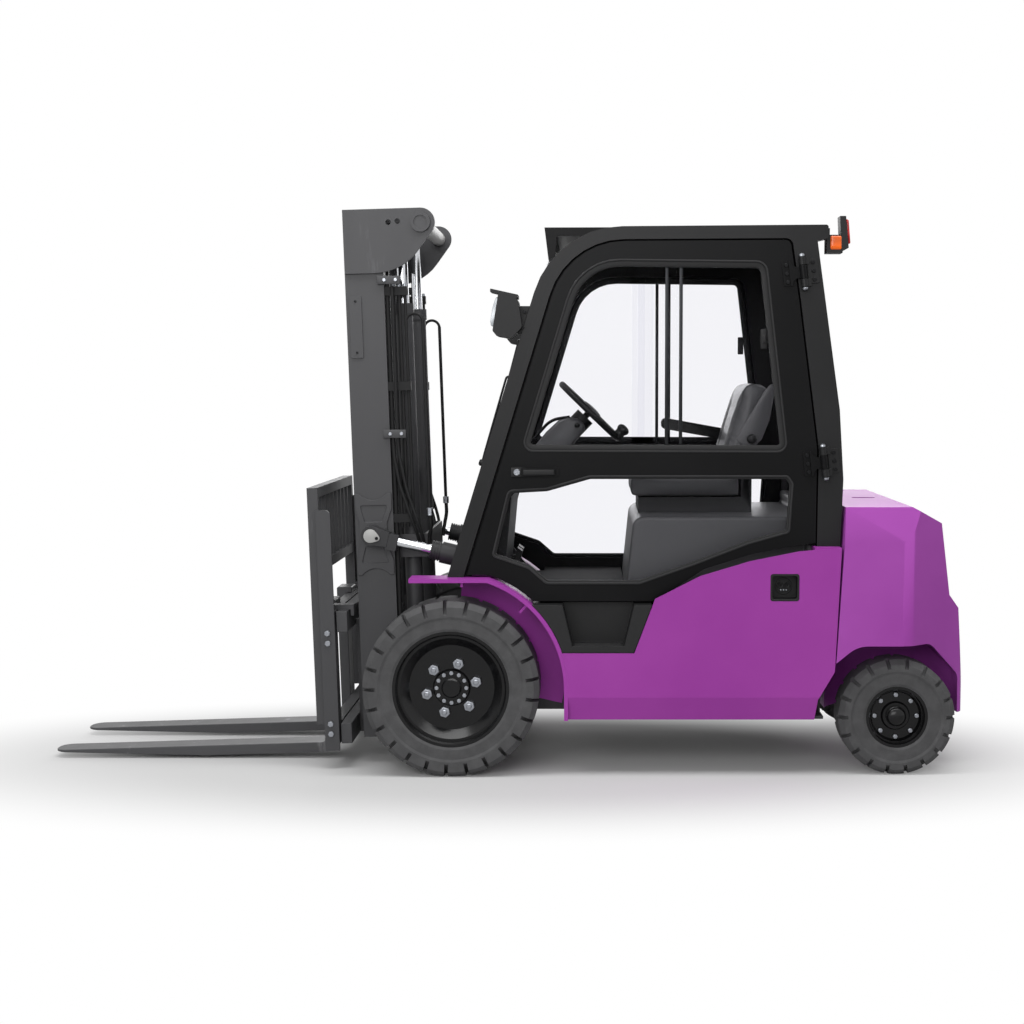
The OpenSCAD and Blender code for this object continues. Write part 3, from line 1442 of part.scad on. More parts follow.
module fork() {
  blade = -blade_drop;
  tip = fork_face + fork_l;
  rear = fork_face - fork_t;
  hook = rear - shift_t / 2;
  profile = rounded([[fork_face, fork_top], [fork_face, blade], [tip, blade], [tip, blade - fork_tip_t],
    [fork_face + fork_l * fork_taper_share, blade - fork_t], [rear, blade - fork_t], [rear, bar_low - over],
    [rear, bar_top], [hook, bar_top], [hook, fork_top]],
    [fork_head_r, fork_root_r, 0, 0, 0, fork_heel_r, 0, 0, 0, fork_head_r]);
  y1 = fork_spread / 2;
  nose_r = fork_w * fork_nose_share;
  nose = rounded([[0, y1], [tip, y1], [tip, y1 - fork_w], [0, y1 - fork_w]], [0, nose_r, nose_r, 0]);
  intersection() {
    upright_slice(profile, y1 - fork_w, y1);
    flat_slice(nose, -blade_drop - fork_t * 2, fork_top + over);
  }
}

module forks() { color(mast_grey) on_mast() both_sides() fork(); }

grille_bars = 8;
grille_bar_w = 14;
grille_low = 470;
post_w = 34;
rail_h = 40;
leg_t = 15;
leg_top = 726;
leg_low = -262;
leg_r = 20;

module load_backrest() {
  half = carriage_w / 2;
  u0 = fork_face - fork_t;
  inside = half - post_w;
  color(mast_grey) on_mast() {
    both_sides() {
      block([u0, inside, bar_low + bar_h], [fork_face, half + over, backrest_top]);
      upright_slice(rounded(framed([shift_rear, leg_low], [u0 + over * 2, leg_top]), [0, 0, 0, leg_r]),
        half, half + leg_t);
    }
    block([u0, -inside - over, backrest_top - rail_h], [fork_face, inside + over, backrest_top]);
    block([u0, -inside - over, grille_low], [fork_face, inside + over, grille_low + rail_h]);
    for (i = [1 : grille_bars]) {
      y = -inside + 2 * inside * i / (grille_bars + 1);
      block([u0 + over, y - grille_bar_w / 2, grille_low + over],
        [fork_face - over, y + grille_bar_w / 2, backrest_top - over]);
    }
  }
}

// tilt cylinders

mast_pin = [pin_u * cos(mast_lean) + pin_w * sin(mast_lean),
  axle_z - pin_u * sin(mast_lean) + pin_w * cos(mast_lean)];
tilt_run = mast_pin - tilt_foot;
tilt_l = norm(tilt_run);
tilt_angle = atan2(tilt_run[1], tilt_run[0]);
barrel_bore_r = 32;
barrel_from = 44;
barrel_cap = 15;
barrel_to = 226;
tilt_rod_r = 20;
rod_from = 172;
gland_l = 42;
gland_r = 40;
gland_ribs = 4;
gland_rib = 4;
eye_play = 6;
rod_eye_r = 40;
eye_neck_l = 72;
eye_neck_h = 30;
coupling_l = 112;
coupling_h = 26;
coupling_lug = 40;
coupling_half = 24;

module at_tilt(side) {
  on_axle() hand(side) translate([tilt_foot[0], tilt_y, tilt_foot[1]]) rotate([0, -tilt_angle, 0])
    children();
}

module tilt_barrel(side) {
  pitch = gland_l / gland_ribs;
  color(charcoal) at_tilt(side) difference() {
    union() {
      rod_y(0, 0, tilt_lug_r, -tilt_eye_w / 2, tilt_eye_w / 2);
      rod_x(tilt_rod_r, 0, barrel_from + over);
      rod_x(barrel_r, barrel_from, barrel_to);
      rod_x(gland_r - gland_rib, barrel_to - over, barrel_to + gland_l);
      for (i = [0 : gland_ribs - 1])
        rod_x(gland_r, barrel_to + pitch * i + pitch / 2, barrel_to + pitch * (i + 1));
    }
    rod_y(0, 0, tilt_pin_r + run, -tilt_eye_w, tilt_eye_w);
    rod_x(barrel_bore_r, barrel_from + barrel_cap, barrel_to);
    rod_x(tilt_rod_r + run, barrel_to - over, barrel_to + gland_l + over);
  }
}

module tilt_rod(side) {
  color(chrome) at_tilt(side) rod_x(tilt_rod_r, rod_from, tilt_l - coupling_l);
}

module tilt_eye(side) {
  y0 = mast_w / 2 + bracket_t + over - tilt_y;
  neck = tilt_l - eye_neck_l;
  root = tilt_l - coupling_l;
  color(charcoal) at_tilt(side) difference() {
    union() {
      rod_y(tilt_l, 0, rod_eye_r, y0, tilt_eye_w / 2);
      upright_slice([[tilt_l, rod_eye_r], [neck, eye_neck_h], [neck, -eye_neck_h], [tilt_l, -rod_eye_r]],
        y0, tilt_eye_w / 2);
      upright_slice(rounded([[neck + over, coupling_h], [root, coupling_h], [root, -coupling_lug],
        [neck + over, -coupling_lug]], [0, over, over, 0]), -coupling_half, coupling_half);
    }
    rod_y(tilt_l, 0, tilt_pin_r + eye_play, -tilt_eye_w, tilt_eye_w);
  }
}

side_frames();
frame_core();
steps();
counterweight();
tow_pin();
battery();
drive_axle();
steer_axle();
cab_sides();
roof();
windscreen();
front_panel();
rear_window();
cab_floor();
seat_console();
seat_mount();
seat_cushion();
seat_back();
armrest();
dash();
pedals();
work_lamps();
tail_lamps();
charge_socket();
front_tyre(1);  // front_tyre_left
front_rim(1);  // front_rim_left
front_tyre(-1);  // front_tyre_right
front_rim(-1);  // front_rim_right
knuckle(1);  // knuckle_left
rear_tyre(1);  // rear_tyre_left
rear_rim(1);  // rear_rim_left
knuckle(-1);  // knuckle_right
rear_tyre(-1);  // rear_tyre_right
rear_rim(-1);  // rear_rim_right
door(1);  // door_left
door_glass(1);  // door_glass_left
door(-1);  // door_right
door_glass(-1);  // door_glass_right
steering_wheel();
outer_mast();
head_tube();
mast_brackets();
lift_cylinders();
mast_hoses();
inner_mast();
lift_rods();
chain_sheaves();
lift_chains();
carriage();
side_shifter();
forks();
load_backrest();
tilt_barrel(1);  // tilt_barrel_left
tilt_rod(1);  // tilt_rod_left
tilt_eye(1);  // tilt_eye_left
tilt_barrel(-1);  // tilt_barrel_right
tilt_rod(-1);  // tilt_rod_right
tilt_eye(-1);  // tilt_eye_right
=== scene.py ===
import json
import math

import bmesh
import bpy
from mathutils import Matrix, Vector


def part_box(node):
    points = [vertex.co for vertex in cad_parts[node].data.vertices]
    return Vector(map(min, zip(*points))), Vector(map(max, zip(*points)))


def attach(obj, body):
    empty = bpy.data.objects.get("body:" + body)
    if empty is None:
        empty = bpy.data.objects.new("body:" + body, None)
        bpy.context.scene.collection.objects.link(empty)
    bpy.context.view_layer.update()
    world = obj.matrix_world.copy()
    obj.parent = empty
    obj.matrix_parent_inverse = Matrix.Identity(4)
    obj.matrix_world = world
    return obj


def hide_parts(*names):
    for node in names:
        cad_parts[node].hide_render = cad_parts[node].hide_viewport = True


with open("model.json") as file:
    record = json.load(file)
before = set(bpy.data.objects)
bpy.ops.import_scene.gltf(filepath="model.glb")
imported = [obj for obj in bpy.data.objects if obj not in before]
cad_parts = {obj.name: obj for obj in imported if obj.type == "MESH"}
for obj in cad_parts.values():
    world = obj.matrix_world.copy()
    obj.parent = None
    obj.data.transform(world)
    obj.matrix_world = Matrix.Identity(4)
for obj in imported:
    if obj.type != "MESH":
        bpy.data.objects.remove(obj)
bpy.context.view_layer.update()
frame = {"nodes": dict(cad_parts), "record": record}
NODES = frame["nodes"]
JOINTS = {joint["name"]: joint for joint in frame["record"]["behaviour"]["joints"]}

MM = 0.001
LEFT = Vector((0, 1, 0))
FRONT_AXLE = Vector(JOINTS["mast_tilt"]["pos_m"])
MAST_UP = Vector(JOINTS["mast_lift"]["axis"])
MAST_AHEAD = Vector((MAST_UP.z, 0, -MAST_UP.x))


def at(x, y, z):
    """A point x ahead of the front axle, y to the left and z over the floor, in millimetres."""
    return Vector((FRONT_AXLE.x + x * MM, y * MM, z * MM))


def at_mast(u, y, w):
    """A point u ahead of the tilt axis, y to the left and w along the leaning mast, in millimetres."""
    return FRONT_AXLE + MAST_AHEAD * (u * MM) + LEFT * (y * MM) + MAST_UP * (w * MM)


def standing(point, outward, turn=0.0):
    """The place of a piece made upright on the floor that stands on a face with that outward normal."""
    facing = outward.to_track_quat("Z", "Y").to_matrix().to_4x4()
    return Matrix.Translation(point) @ facing @ Matrix.Rotation(turn, 4, "Z")


# Working by hand: selecting, editing and finishing a piece

def pick_only(*objects):
    bpy.ops.object.select_all(action="DESELECT")
    for obj in objects:
        obj.select_set(True)
    bpy.context.view_layer.objects.active = objects[0]


def edit(obj):
    pick_only(obj)
    bpy.ops.object.mode_set(mode="EDIT")


def done():
    bpy.ops.object.mode_set(mode="OBJECT")


def pick_faces(obj, wanted):
    """In edit mode, selects the faces whose centre and normal pass wanted."""
    bpy.ops.mesh.select_mode(type="FACE")
    mesh = bmesh.from_edit_mesh(obj.data)
    for face in mesh.faces:
        face.select_set(bool(wanted(face.calc_center_median(), face.normal)))
    mesh.select_flush_mode()
    bmesh.update_edit_mesh(obj.data)


def modify(obj, name, kind, **settings):
    """Adds a modifier with its settings."""
    modifier = obj.modifiers.new(name, kind)
    for key, value in settings.items():
        setattr(modifier, key, value)


def apply_all(obj):
    pick_only(obj)
    for modifier in list(obj.modifiers):
        bpy.ops.object.modifier_apply(modifier=modifier.name)


def settle(obj):
    """Puts the piece's place into its mesh, so that its object sits at the origin."""
    pick_only(obj)
    bpy.ops.object.transform_apply(location=True, rotation=True, scale=True)


def copy_of(obj, place):
    twin = obj.copy()
    twin.data = obj.data.copy()
    bpy.context.collection.objects.link(twin)
    twin.data.transform(place)
    return twin


def join(name, objects):
    pick_only(*objects)
    bpy.ops.object.join()
    objects[0].name = name
    objects[0].data.name = name
    return objects[0]


SAME_SPOT_MM = 0.01


def face_out(obj):
    """Merges what lies on the same spot and turns every face outwards."""
    edit(obj)
    bpy.ops.mesh.select_all(action="SELECT")
    bpy.ops.mesh.remove_doubles(threshold=SAME_SPOT_MM * MM)
    bpy.ops.mesh.normals_make_consistent(inside=False)
    done()


MIRROR_Y = Matrix.Scale(-1, 4, LEFT)
# the steepest edge, in degrees, that is still shaded smooth
SMOOTH_TO = 35


def mirrored(obj, name):
    twin = copy_of(obj, MIRROR_Y)
    twin.data.flip_normals()
    twin.name = name
    twin.data.name = name
    return twin


def finish_piece(obj, body, finish, angle=SMOOTH_TO):
    pick_only(obj)
    bpy.ops.object.shade_smooth_by_angle(angle=math.radians(angle))
    obj.data.materials.clear()
    obj.data.materials.append(finish)
    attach(obj, body)
    return obj


# Small pieces made by hand

def started(obj, name):
    obj.name = name
    obj.data.name = name
    settle(obj)
    return obj


def rounded_box(name, low, high, edge_mm, segments=3):
    """A box between two corners, with its edges rounded."""
    bpy.ops.object.select_all(action="DESELECT")
    bpy.ops.mesh.primitive_cube_add(size=1, location=(low + high) / 2)
    box = bpy.context.object
    box.scale = [abs(size) for size in high - low]
    started(box, name)
    modify(box, "round", "BEVEL", width=edge_mm * MM, segments=segments)
    apply_all(box)
    return box


def drawn(name, points):
    """A chain of edges from point to point, left in edit mode with all of it selected."""
    bpy.ops.object.select_all(action="DESELECT")
    bpy.ops.mesh.primitive_plane_add(size=MM)
    obj = started(bpy.context.object, name)
    edit(obj)
    bpy.ops.mesh.select_mode(type="VERT")
    bpy.ops.mesh.select_all(action="SELECT")
    bpy.ops.mesh.merge(type="CENTER")
    bpy.ops.transform.translate(value=points[0])
    for here, there in zip(points, points[1:]):
        bpy.ops.mesh.extrude_region_move(TRANSFORM_OT_translate={"value": there - here})
    bpy.ops.mesh.select_all(action="SELECT")
    return obj


def turned(name, profile, steps, place=None):
    """A turned piece, put in place: its half profile of radius and height, in millimetres, spun round."""
    obj = drawn(name, [Vector((r * MM, 0, z * MM)) for r, z in profile])
    bpy.ops.mesh.spin(steps=steps, angle=math.tau, center=(0, 0, 0), axis=(0, 0, 1))
    done()
    face_out(obj)
    if place is not None:
        obj.data.transform(place)
    return obj


PLATE_ROUND_FROM = math.radians(40)


def side_plate(name, outline, y0, y1, edge_mm=0.0, ring_mm=0.0):
    """A plate of that outline seen from the side, in millimetres, or only a ring of it along its edge."""
    obj = drawn(name, [at(x, y0, z) for x, z in outline])
    bpy.ops.mesh.edge_face_add()
    if ring_mm:
        bpy.ops.mesh.inset(thickness=ring_mm * MM)
        bpy.ops.mesh.delete(type="FACE")
    bpy.ops.mesh.select_all(action="SELECT")
    bpy.ops.mesh.extrude_region_move(TRANSFORM_OT_translate={"value": LEFT * ((y1 - y0) * MM)})
    done()
    face_out(obj)
    if edge_mm:
        modify(obj, "round", "BEVEL", width=edge_mm * MM, segments=2, limit_method="ANGLE",
               angle_limit=PLATE_ROUND_FROM)
        apply_all(obj)
    return obj


def softened(points, radii, steps=6):
    """A closed outline with each corner rounded to its own radius."""
    out = []
    count = len(points)
    for i, (b, r) in enumerate(zip(points, radii)):
        a, b, c = Vector(points[i - 1]), Vector(b), Vector(points[(i + 1) % count])
        if r == 0:
            out.append(tuple(b))
            continue
        back, on = (a - b).normalized(), (c - b).normalized()
        half = back.angle(on) / 2
        mid = b + (back + on).normalized() * (r / math.sin(half))
        first = b + back * (r / math.tan(half)) - mid
        last = b + on * (r / math.tan(half)) - mid
        turn = first.angle_signed(last)
        out += [tuple(mid + Matrix.Rotation(-turn * k / steps, 2) @ first) for k in range(steps + 1)]
    return out


# shares of a bolt's width or height: its chamfer, the collar at its foot, and the stud's foot and chamfer
CHAMFER_SHARE, CHAMFER_RISE_SHARE = 0.07, 0.05
COLLAR_R_SHARES, COLLAR_TOP_SHARES = (0.93, 0.88), (0.12, 0.2)
STUD_FOOT_SHARE, STUD_CHAMFER_SHARE = 0.5, 0.25


def hex_bolt(name, across, height, stud_r=0.0, stud_h=0.0):
    """A hexagon, across its corners, chamfered on top, with the end of its stud where it is a nut."""
    r = across / 2
    bpy.ops.object.select_all(action="DESELECT")
    bpy.ops.mesh.primitive_cylinder_add(vertices=6, radius=r * MM, depth=height * MM,
                                        location=(0, 0, height / 2 * MM))
    bolt = started(bpy.context.object, name)
    edit(bolt)
    pick_faces(bolt, lambda mid, normal: normal.z > 0.9)
    bpy.ops.mesh.inset(thickness=across * CHAMFER_SHARE * MM)
    bpy.ops.transform.translate(value=(0, 0, across * CHAMFER_RISE_SHARE * MM))
    done()
    wide, narrow = (r * share for share in COLLAR_R_SHARES)
    low, high = (height * share for share in COLLAR_TOP_SHARES)
    parts = [bolt, turned(name + "_collar", [(0, 0), (wide, 0), (wide, low), (narrow, high), (0, high)], 16)]
    if stud_r:
        top, chamfer = height + stud_h, stud_r * STUD_CHAMFER_SHARE
        parts.append(turned(name + "_stud", [(stud_r, height * STUD_FOOT_SHARE), (stud_r, top - chamfer),
                                             (stud_r - chamfer, top), (0, top)], 12))
    return join(name, parts)


BEND_STEPS, BAR_SMOOTHNESS = 6, 3


def bent_bar(name, points, r, bend=0.0):
    """A round bar or hose along points in metres, with its corners eased by the bend, and closed ends."""
    path = [points[0]]
    for a, b, c in zip(points, points[1:], points[2:]):
        if not bend:
            path.append(b)
            continue
        first, last = b + (a - b).normalized() * (bend * MM), b + (c - b).normalized() * (bend * MM)
        for k in range(BEND_STEPS + 1):
            t = k / BEND_STEPS
            path.append(first * (1 - t) ** 2 + b * 2 * t * (1 - t) + last * t ** 2)
    path.append(points[-1])
    line = bpy.data.curves.new(name, "CURVE")
    line.dimensions = "3D"
    line.bevel_depth = r * MM
    line.bevel_resolution = BAR_SMOOTHNESS
    line.use_fill_caps = True
    spline = line.splines.new("POLY")
    spline.points.add(len(path) - 1)
    for point, place in zip(spline.points, path):
        point.co = (*place, 1)
    bar = bpy.data.objects.new(name, line)
    bpy.context.collection.objects.link(bar)
    pick_only(bar)
    bpy.ops.object.convert(target="MESH")
    bar = bpy.context.object
    bar.name = name
    face_out(bar)
    return bar


def set_out(name, pattern, places, body, finish):
    """Copies of one small piece at their places, as one piece; the pattern itself is removed."""
    piece = join(name, [copy_of(pattern, place) for place in places])
    bpy.data.objects.remove(pattern, do_unlink=True)
    return finish_piece(piece, body, finish)


def twinned(piece):
    """A left-hand piece joined with its right-hand twin, as one piece."""
    return join(piece.name, [piece, mirrored(piece, "twin")])


def right_hand(piece, body):
    """The right-hand twin of a left-hand piece, as a piece of its own on that body."""
    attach(mirrored(piece, piece.name.replace("_left", "") + "_right"), body)


# Finishes

def linear(code):
    """The linear colour of an sRGB hex value."""
    parts = [int(code[i:i + 2], 16) / 255 for i in (1, 3, 5)]
    return [c / 12.92 if c <= 0.04045 else ((c + 0.055) / 1.055) ** 2.4 for c in parts] + [1.0]


def feed(tree, node, sockets):
    """Gives each socket of a node its value, or a link from another node's socket."""
    for name, value in sockets.items():
        if isinstance(value, bpy.types.NodeSocket):
            tree.links.new(value, node.inputs[name])
        else:
            node.inputs[name].default_value = value


def add(tree, kind, sockets=None, **settings):
    """Adds a shader node of a kind, with its settings and what its sockets take."""
    node = tree.nodes.new("ShaderNode" + kind)
    for name, value in settings.items():
        setattr(node, name, value)
    feed(tree, node, sockets or {})
    return node


def new_finish(name):
    finish = bpy.data.materials.new(name)
    finish.use_nodes = True
    tree = finish.node_tree
    place = add(tree, "TexCoord").outputs["Object"]
    return finish, tree, tree.nodes["Principled BSDF"], place


def per_mm(size):
    """Scale of a pattern whose features are that many millimetres wide."""
    return 1 / (size * MM)


CLOUD_MM, CLOUD_STOPS = 420, (0.35, 0.65)


def coat_paint(name, low, high, rough, grit_mm, depth_mm, shine, clear=0.0):
    """Sprayed paint: a faint cloud of two close shades, and the ripple of the sprayed film."""
    finish, tree, shader, place = new_finish(name)
    noise = add(tree, "TexNoise", {"Vector": place, "Scale": per_mm(CLOUD_MM), "Detail": 3.0})
    cloud = noise.outputs["Fac"]
    tone = add(tree, "ValToRGB", {"Fac": cloud})
    for stop, position, shade in zip(tone.color_ramp.elements, CLOUD_STOPS, (low, high)):
        stop.position = position
        stop.color = linear(shade)
    gloss = add(tree, "MapRange", {"Value": cloud, "To Min": rough - 0.05, "To Max": rough + 0.05})
    grit = add(tree, "TexNoise", {"Vector": place, "Scale": per_mm(grit_mm), "Detail": 2.0})
    ripple = add(tree, "Bump", {"Height": grit.outputs["Fac"], "Distance": depth_mm * MM,
                                "Strength": 0.5})
    feed(tree, shader, {"Base Color": tone.outputs["Color"], "Roughness": gloss.outputs["Result"],
                        "Normal": ripple.outputs["Normal"], "Specular IOR Level": shine,
                        "Coat Weight": clear, "Coat Roughness": 0.12})
    return finish


WORN_STREAK_SHARES = (1.0, 1.0, 0.18)
WORN_GRIT_MM, WORN_GRIT_DEEP_MM = 5, 0.25


def worn_paint(name, paint, bare, rough, wear_mm, share):
    """Satin paint on rolled steel: rubbed thin in streaks, so that duller steel shows through in places."""
    finish, tree, shader, place = new_finish(name)
    streak = add(tree, "Mapping", {"Vector": place, "Scale": WORN_STREAK_SHARES})
    noise = add(tree, "TexNoise", {"Vector": streak.outputs["Vector"], "Scale": per_mm(wear_mm),
                                   "Detail": 8.0, "Roughness": 0.68})
    rub = noise.outputs["Fac"]
    mask = add(tree, "MapRange", {"Value": rub, "From Min": 0.74 - share, "From Max": 0.80 - share,
                                  "To Max": 0.8})
    tone = add(tree, "Mix", {"Factor": mask.outputs["Result"], "A": linear(paint),
                             "B": linear(bare)}, data_type="RGBA")
    gloss = add(tree, "MapRange", {"Value": rub, "To Min": rough + 0.1, "To Max": rough - 0.1})
    grit = add(tree, "TexNoise", {"Vector": place, "Scale": per_mm(WORN_GRIT_MM), "Detail": 2.0})
    ripple = add(tree, "Bump", {"Height": grit.outputs["Fac"], "Distance": WORN_GRIT_DEEP_MM * MM,
                                "Strength": 0.4})
    feed(tree, shader, {"Base Color": tone.outputs["Result"], "Roughness": gloss.outputs["Result"],
                        "Normal": ripple.outputs["Normal"], "Specular IOR Level": 0.35})
    return finish


def moulded_plastic(name, colour, rough, grain_mm, depth_mm=0.2, shine=0.3):
    """Moulded plastic: a pebbled leather grain, dull on its crowns, with painted shade darkening its valleys
    and painted light on its crowns.
    """
    finish, tree, shader, place = new_finish(name)
    cells = add(tree, "TexVoronoi", {"Vector": place, "Scale": per_mm(grain_mm)}, feature="SMOOTH_F1")
    pebble = cells.outputs["Distance"]
    # painted shade and light: the grain's valleys are darkened and its crowns lightened in the colour
    tone = add(tree, "MapRange", {"Value": pebble, "To Min": 1.12, "To Max": 0.82})
    shade = add(tree, "Mix", {"Factor": 1.0, "A": linear(colour), "B": tone.outputs["Result"]},
                data_type="RGBA", blend_type="MULTIPLY")
    gloss = add(tree, "MapRange", {"Value": pebble, "To Min": rough - 0.05, "To Max": rough + 0.1})
    grain = add(tree, "Bump", {"Height": pebble, "Distance": depth_mm * MM, "Strength": 0.5}, invert=True)
    feed(tree, shader, {"Base Color": shade.outputs["Result"], "Roughness": gloss.outputs["Result"],
                        "Normal": grain.outputs["Normal"], "Specular IOR Level": shine})
    return finish


def bare_metal(name, colour, rough, brush_mm, stretch=(1.0, 1.0, 1.0)):
    """Bare metal: fine lines along its working direction, which spread each highlight."""
    finish, tree, shader, place = new_finish(name)
    lines = add(tree, "Mapping", {"Vector": place, "Scale": stretch})
    noise = add(tree, "TexNoise", {"Vector": lines.outputs["Vector"], "Scale": per_mm(brush_mm),
                                   "Detail": 4.0})
    brush = noise.outputs["Fac"]
    tone = add(tree, "MapRange", {"Value": brush, "To Min": 0.8, "To Max": 1.15})
    shade = add(tree, "Mix", {"Factor": 1.0, "A": linear(colour), "B": tone.outputs["Result"]},
                data_type="RGBA", blend_type="MULTIPLY")
    gloss = add(tree, "MapRange", {"Value": brush, "To Min": rough - 0.06, "To Max": rough + 0.1})
    feed(tree, shader, {"Base Color": shade.outputs["Result"], "Roughness": gloss.outputs["Result"],
                        "Metallic": 1.0})
    return finish


BLOOM_MM, SKIN_MM, SKIN_DEEP_MM = 60, 4, 0.4


def solid_rubber(name, colour, dust):
    """Vulcanised rubber: dull charcoal with a thin bloom of dust in soft patches."""
    finish, tree, shader, place = new_finish(name)
    noise = add(tree, "TexNoise", {"Vector": place, "Scale": per_mm(BLOOM_MM), "Detail": 6.0,
                                   "Roughness": 0.6})
    bloom = noise.outputs["Fac"]
    mask = add(tree, "MapRange", {"Value": bloom, "From Min": 0.4, "From Max": 0.75, "To Max": 0.6})
    tone = add(tree, "Mix", {"Factor": mask.outputs["Result"], "A": linear(colour),
                             "B": linear(dust)}, data_type="RGBA")
    gloss = add(tree, "MapRange", {"Value": bloom, "To Min": 0.55, "To Max": 0.8})
    skin = add(tree, "TexNoise", {"Vector": place, "Scale": per_mm(SKIN_MM), "Detail": 3.0})
    rough = add(tree, "Bump", {"Height": skin.outputs["Fac"], "Distance": SKIN_DEEP_MM * MM,
                               "Strength": 0.5})
    feed(tree, shader, {"Base Color": tone.outputs["Result"], "Roughness": gloss.outputs["Result"],
                        "Normal": rough.outputs["Normal"], "Specular IOR Level": 0.3})
    return finish


SMEAR_MM = 250


def safety_glass(name, tint):
    """Float glass: clear, with a mirror gloss that grows at a glance on each face met from outside."""
    finish, tree, shader, place = new_finish(name)
    smear = add(tree, "TexNoise", {"Vector": place, "Scale": per_mm(SMEAR_MM), "Detail": 4.0})
    gloss = add(tree, "MapRange", {"Value": smear.outputs["Fac"], "To Min": 0.02, "To Max": 0.07})
    feed(tree, shader, {"Base Color": linear("#101214"), "Roughness": gloss.outputs["Result"]})
    through = add(tree, "BsdfTransparent", {"Color": linear(tint)})
    glance = add(tree, "Fresnel", {"IOR": 1.3})
    side = add(tree, "NewGeometry").outputs["Backfacing"]
    entry = add(tree, "MapRange", {"Value": side, "To Min": 1.0, "To Max": 0.0})
    share = add(tree, "Math", {0: glance.outputs["Fac"], 1: entry.outputs["Result"]},
                operation="MULTIPLY")
    pane = add(tree, "MixShader", {"Fac": share.outputs["Value"], 1: through.outputs["BSDF"],
                                   2: shader.outputs["BSDF"]})
    feed(tree, tree.nodes["Material Output"], {"Surface": pane.outputs["Shader"]})
    return finish


# bands that the wave node makes in a metre at a scale of 1, and the depth of a lens's flutes
WAVES_PER_METRE = 20 / math.tau
FLUTE_DEEP_MM = 0.8


def lamp_lens(name, colour, flute_mm, painted_glow=0.0):
    """Ribbed lens over a bright reflector: clear coloured plastic with broad level flutes, their bands of
    light and shade painted into its colour, and a painted glow for the reflector's light.
    """
    finish, tree, shader, place = new_finish(name)
    wave = add(tree, "TexWave", {"Vector": place, "Scale": per_mm(flute_mm) / WAVES_PER_METRE},
               bands_direction="Z")
    ribs = wave.outputs["Fac"]
    # painted light and shade: lighter and darker bands along the flutes are painted into the colour
    tone = add(tree, "MapRange", {"Value": ribs, "To Min": 0.7, "To Max": 1.1})
    shade = add(tree, "Mix", {"Factor": 1.0, "A": linear(colour), "B": tone.outputs["Result"]},
                data_type="RGBA", blend_type="MULTIPLY")
    bump = add(tree, "Bump", {"Height": ribs, "Distance": FLUTE_DEEP_MM * MM, "Strength": 0.6})
    feed(tree, shader, {"Base Color": shade.outputs["Result"], "Normal": bump.outputs["Normal"],
                        "Roughness": 0.15, "Emission Color": linear(colour), "Emission Strength": painted_glow})
    return finish


# two-pack enamel on sheet steel: even purple with a sprayed gloss
PURPLE = coat_paint("purple_enamel", "#953b98", "#9b409d", 0.36, 12, 0.04, shine=0.12, clear=0.03)
# enamel over cast iron: the same purple on a surface that swells a little, painted a shade lighter than the
# side panels as painted light on the counterweight
CAST_PURPLE_PAINTED_LIGHT = coat_paint("purple_enamel_on_casting", "#9c46a2", "#a44daa", 0.42, 40, 0.15, shine=0.12,
                         clear=0.02)
# powder coat on the doors, roof and front panel: near black with a fine pimpled gloss
CAB_BLACK = coat_paint("black_powder_coat", "#0d0d0e", "#111112", 0.36, 3, 0.12, shine=0.10)
# satin powder coat on the tubes of the cab frame, painted a shade greyer than the doors as a painted sheen:
# the greyer colour stands in for light the tubes catch
FRAME_BLACK_PAINTED_SHEEN = coat_paint("satin_black_powder_coat", "#171718", "#1c1c1d", 0.40, 3, 0.12, shine=0.22)
# baked gloss enamel on the pressed rims
RIM_BLACK = coat_paint("gloss_black_enamel", "#0b0b0c", "#0e0e0f", 0.22, 6, 0.06, shine=0.3)
# satin paint on the rolled mast sections
MAST_GREY = worn_paint("dark_grey_mast_paint", "#3e3e40", "#505052", 0.48, 160, 0.12)
# dull chassis paint on plate and castings
CHASSIS = worn_paint("charcoal_chassis_paint", "#29292b", "#3a3a3c", 0.55, 120, 0.1)
# forged fork steel under thin paint
FORK_PAINT = worn_paint("black_fork_paint", "#464648", "#707072", 0.42, 90, 0.14)
# moulded polypropylene covers: a pebbled black, and a lighter grey with more gloss
BLACK_PLASTIC = moulded_plastic("black_polypropylene", "#161617", 0.5, 2.2)
GREY_PLASTIC = moulded_plastic("grey_polypropylene", "#4b4b4d", 0.42, 2.6, shine=0.4)
# rubber mat on the cab floor: coarse grain, no gloss
FLOOR_MAT = moulded_plastic("black_floor_mat", "#0e0e0f", 0.8, 5, 0.5, shine=0.1)
# satin paint on the head tube and the pins' keepers
PALE_GREY = coat_paint("pale_grey_paint", "#a3a3a1", "#acacaa", 0.42, 5, 0.1, shine=0.35)
# anodised edge bars of the sliding panes
BAR_GREY = bare_metal("dark_anodised_aluminium", "#303133", 0.36, 2, (1.0, 1.0, 0.1))
# blackened screws and bolts
BOLT_BLACK = bare_metal("blackened_steel", "#222223", 0.42, 2)
# ground and hard-chromed rods
CHROME = bare_metal("hard_chrome", "#d4d6da", 0.12, 3)
# zinc-plated nuts and bolts
ZINC = bare_metal("bright_zinc", "#9b9ea4", 0.32, 2)
# oiled chain and sheave steel
OILED_STEEL = bare_metal("oiled_steel", "#3b3b3c", 0.38, 4, (1.0, 1.0, 0.3))
# solid tyre rubber: dull charcoal under a little dust
TYRE_RUBBER = solid_rubber("charcoal_tyre_rubber", "#434344", "#5a5a5b")
# extruded rubber round the panes and doors, coloured greyer than the hose rubber as a painted highlight along
# the seal beads
SEAL_RUBBER = solid_rubber("black_seal_rubber", "#242425", "#2f2f30")
# smooth cover of the hydraulic hoses
HOSE_RUBBER = solid_rubber("black_hose_rubber", "#111112", "#1d1d1e")
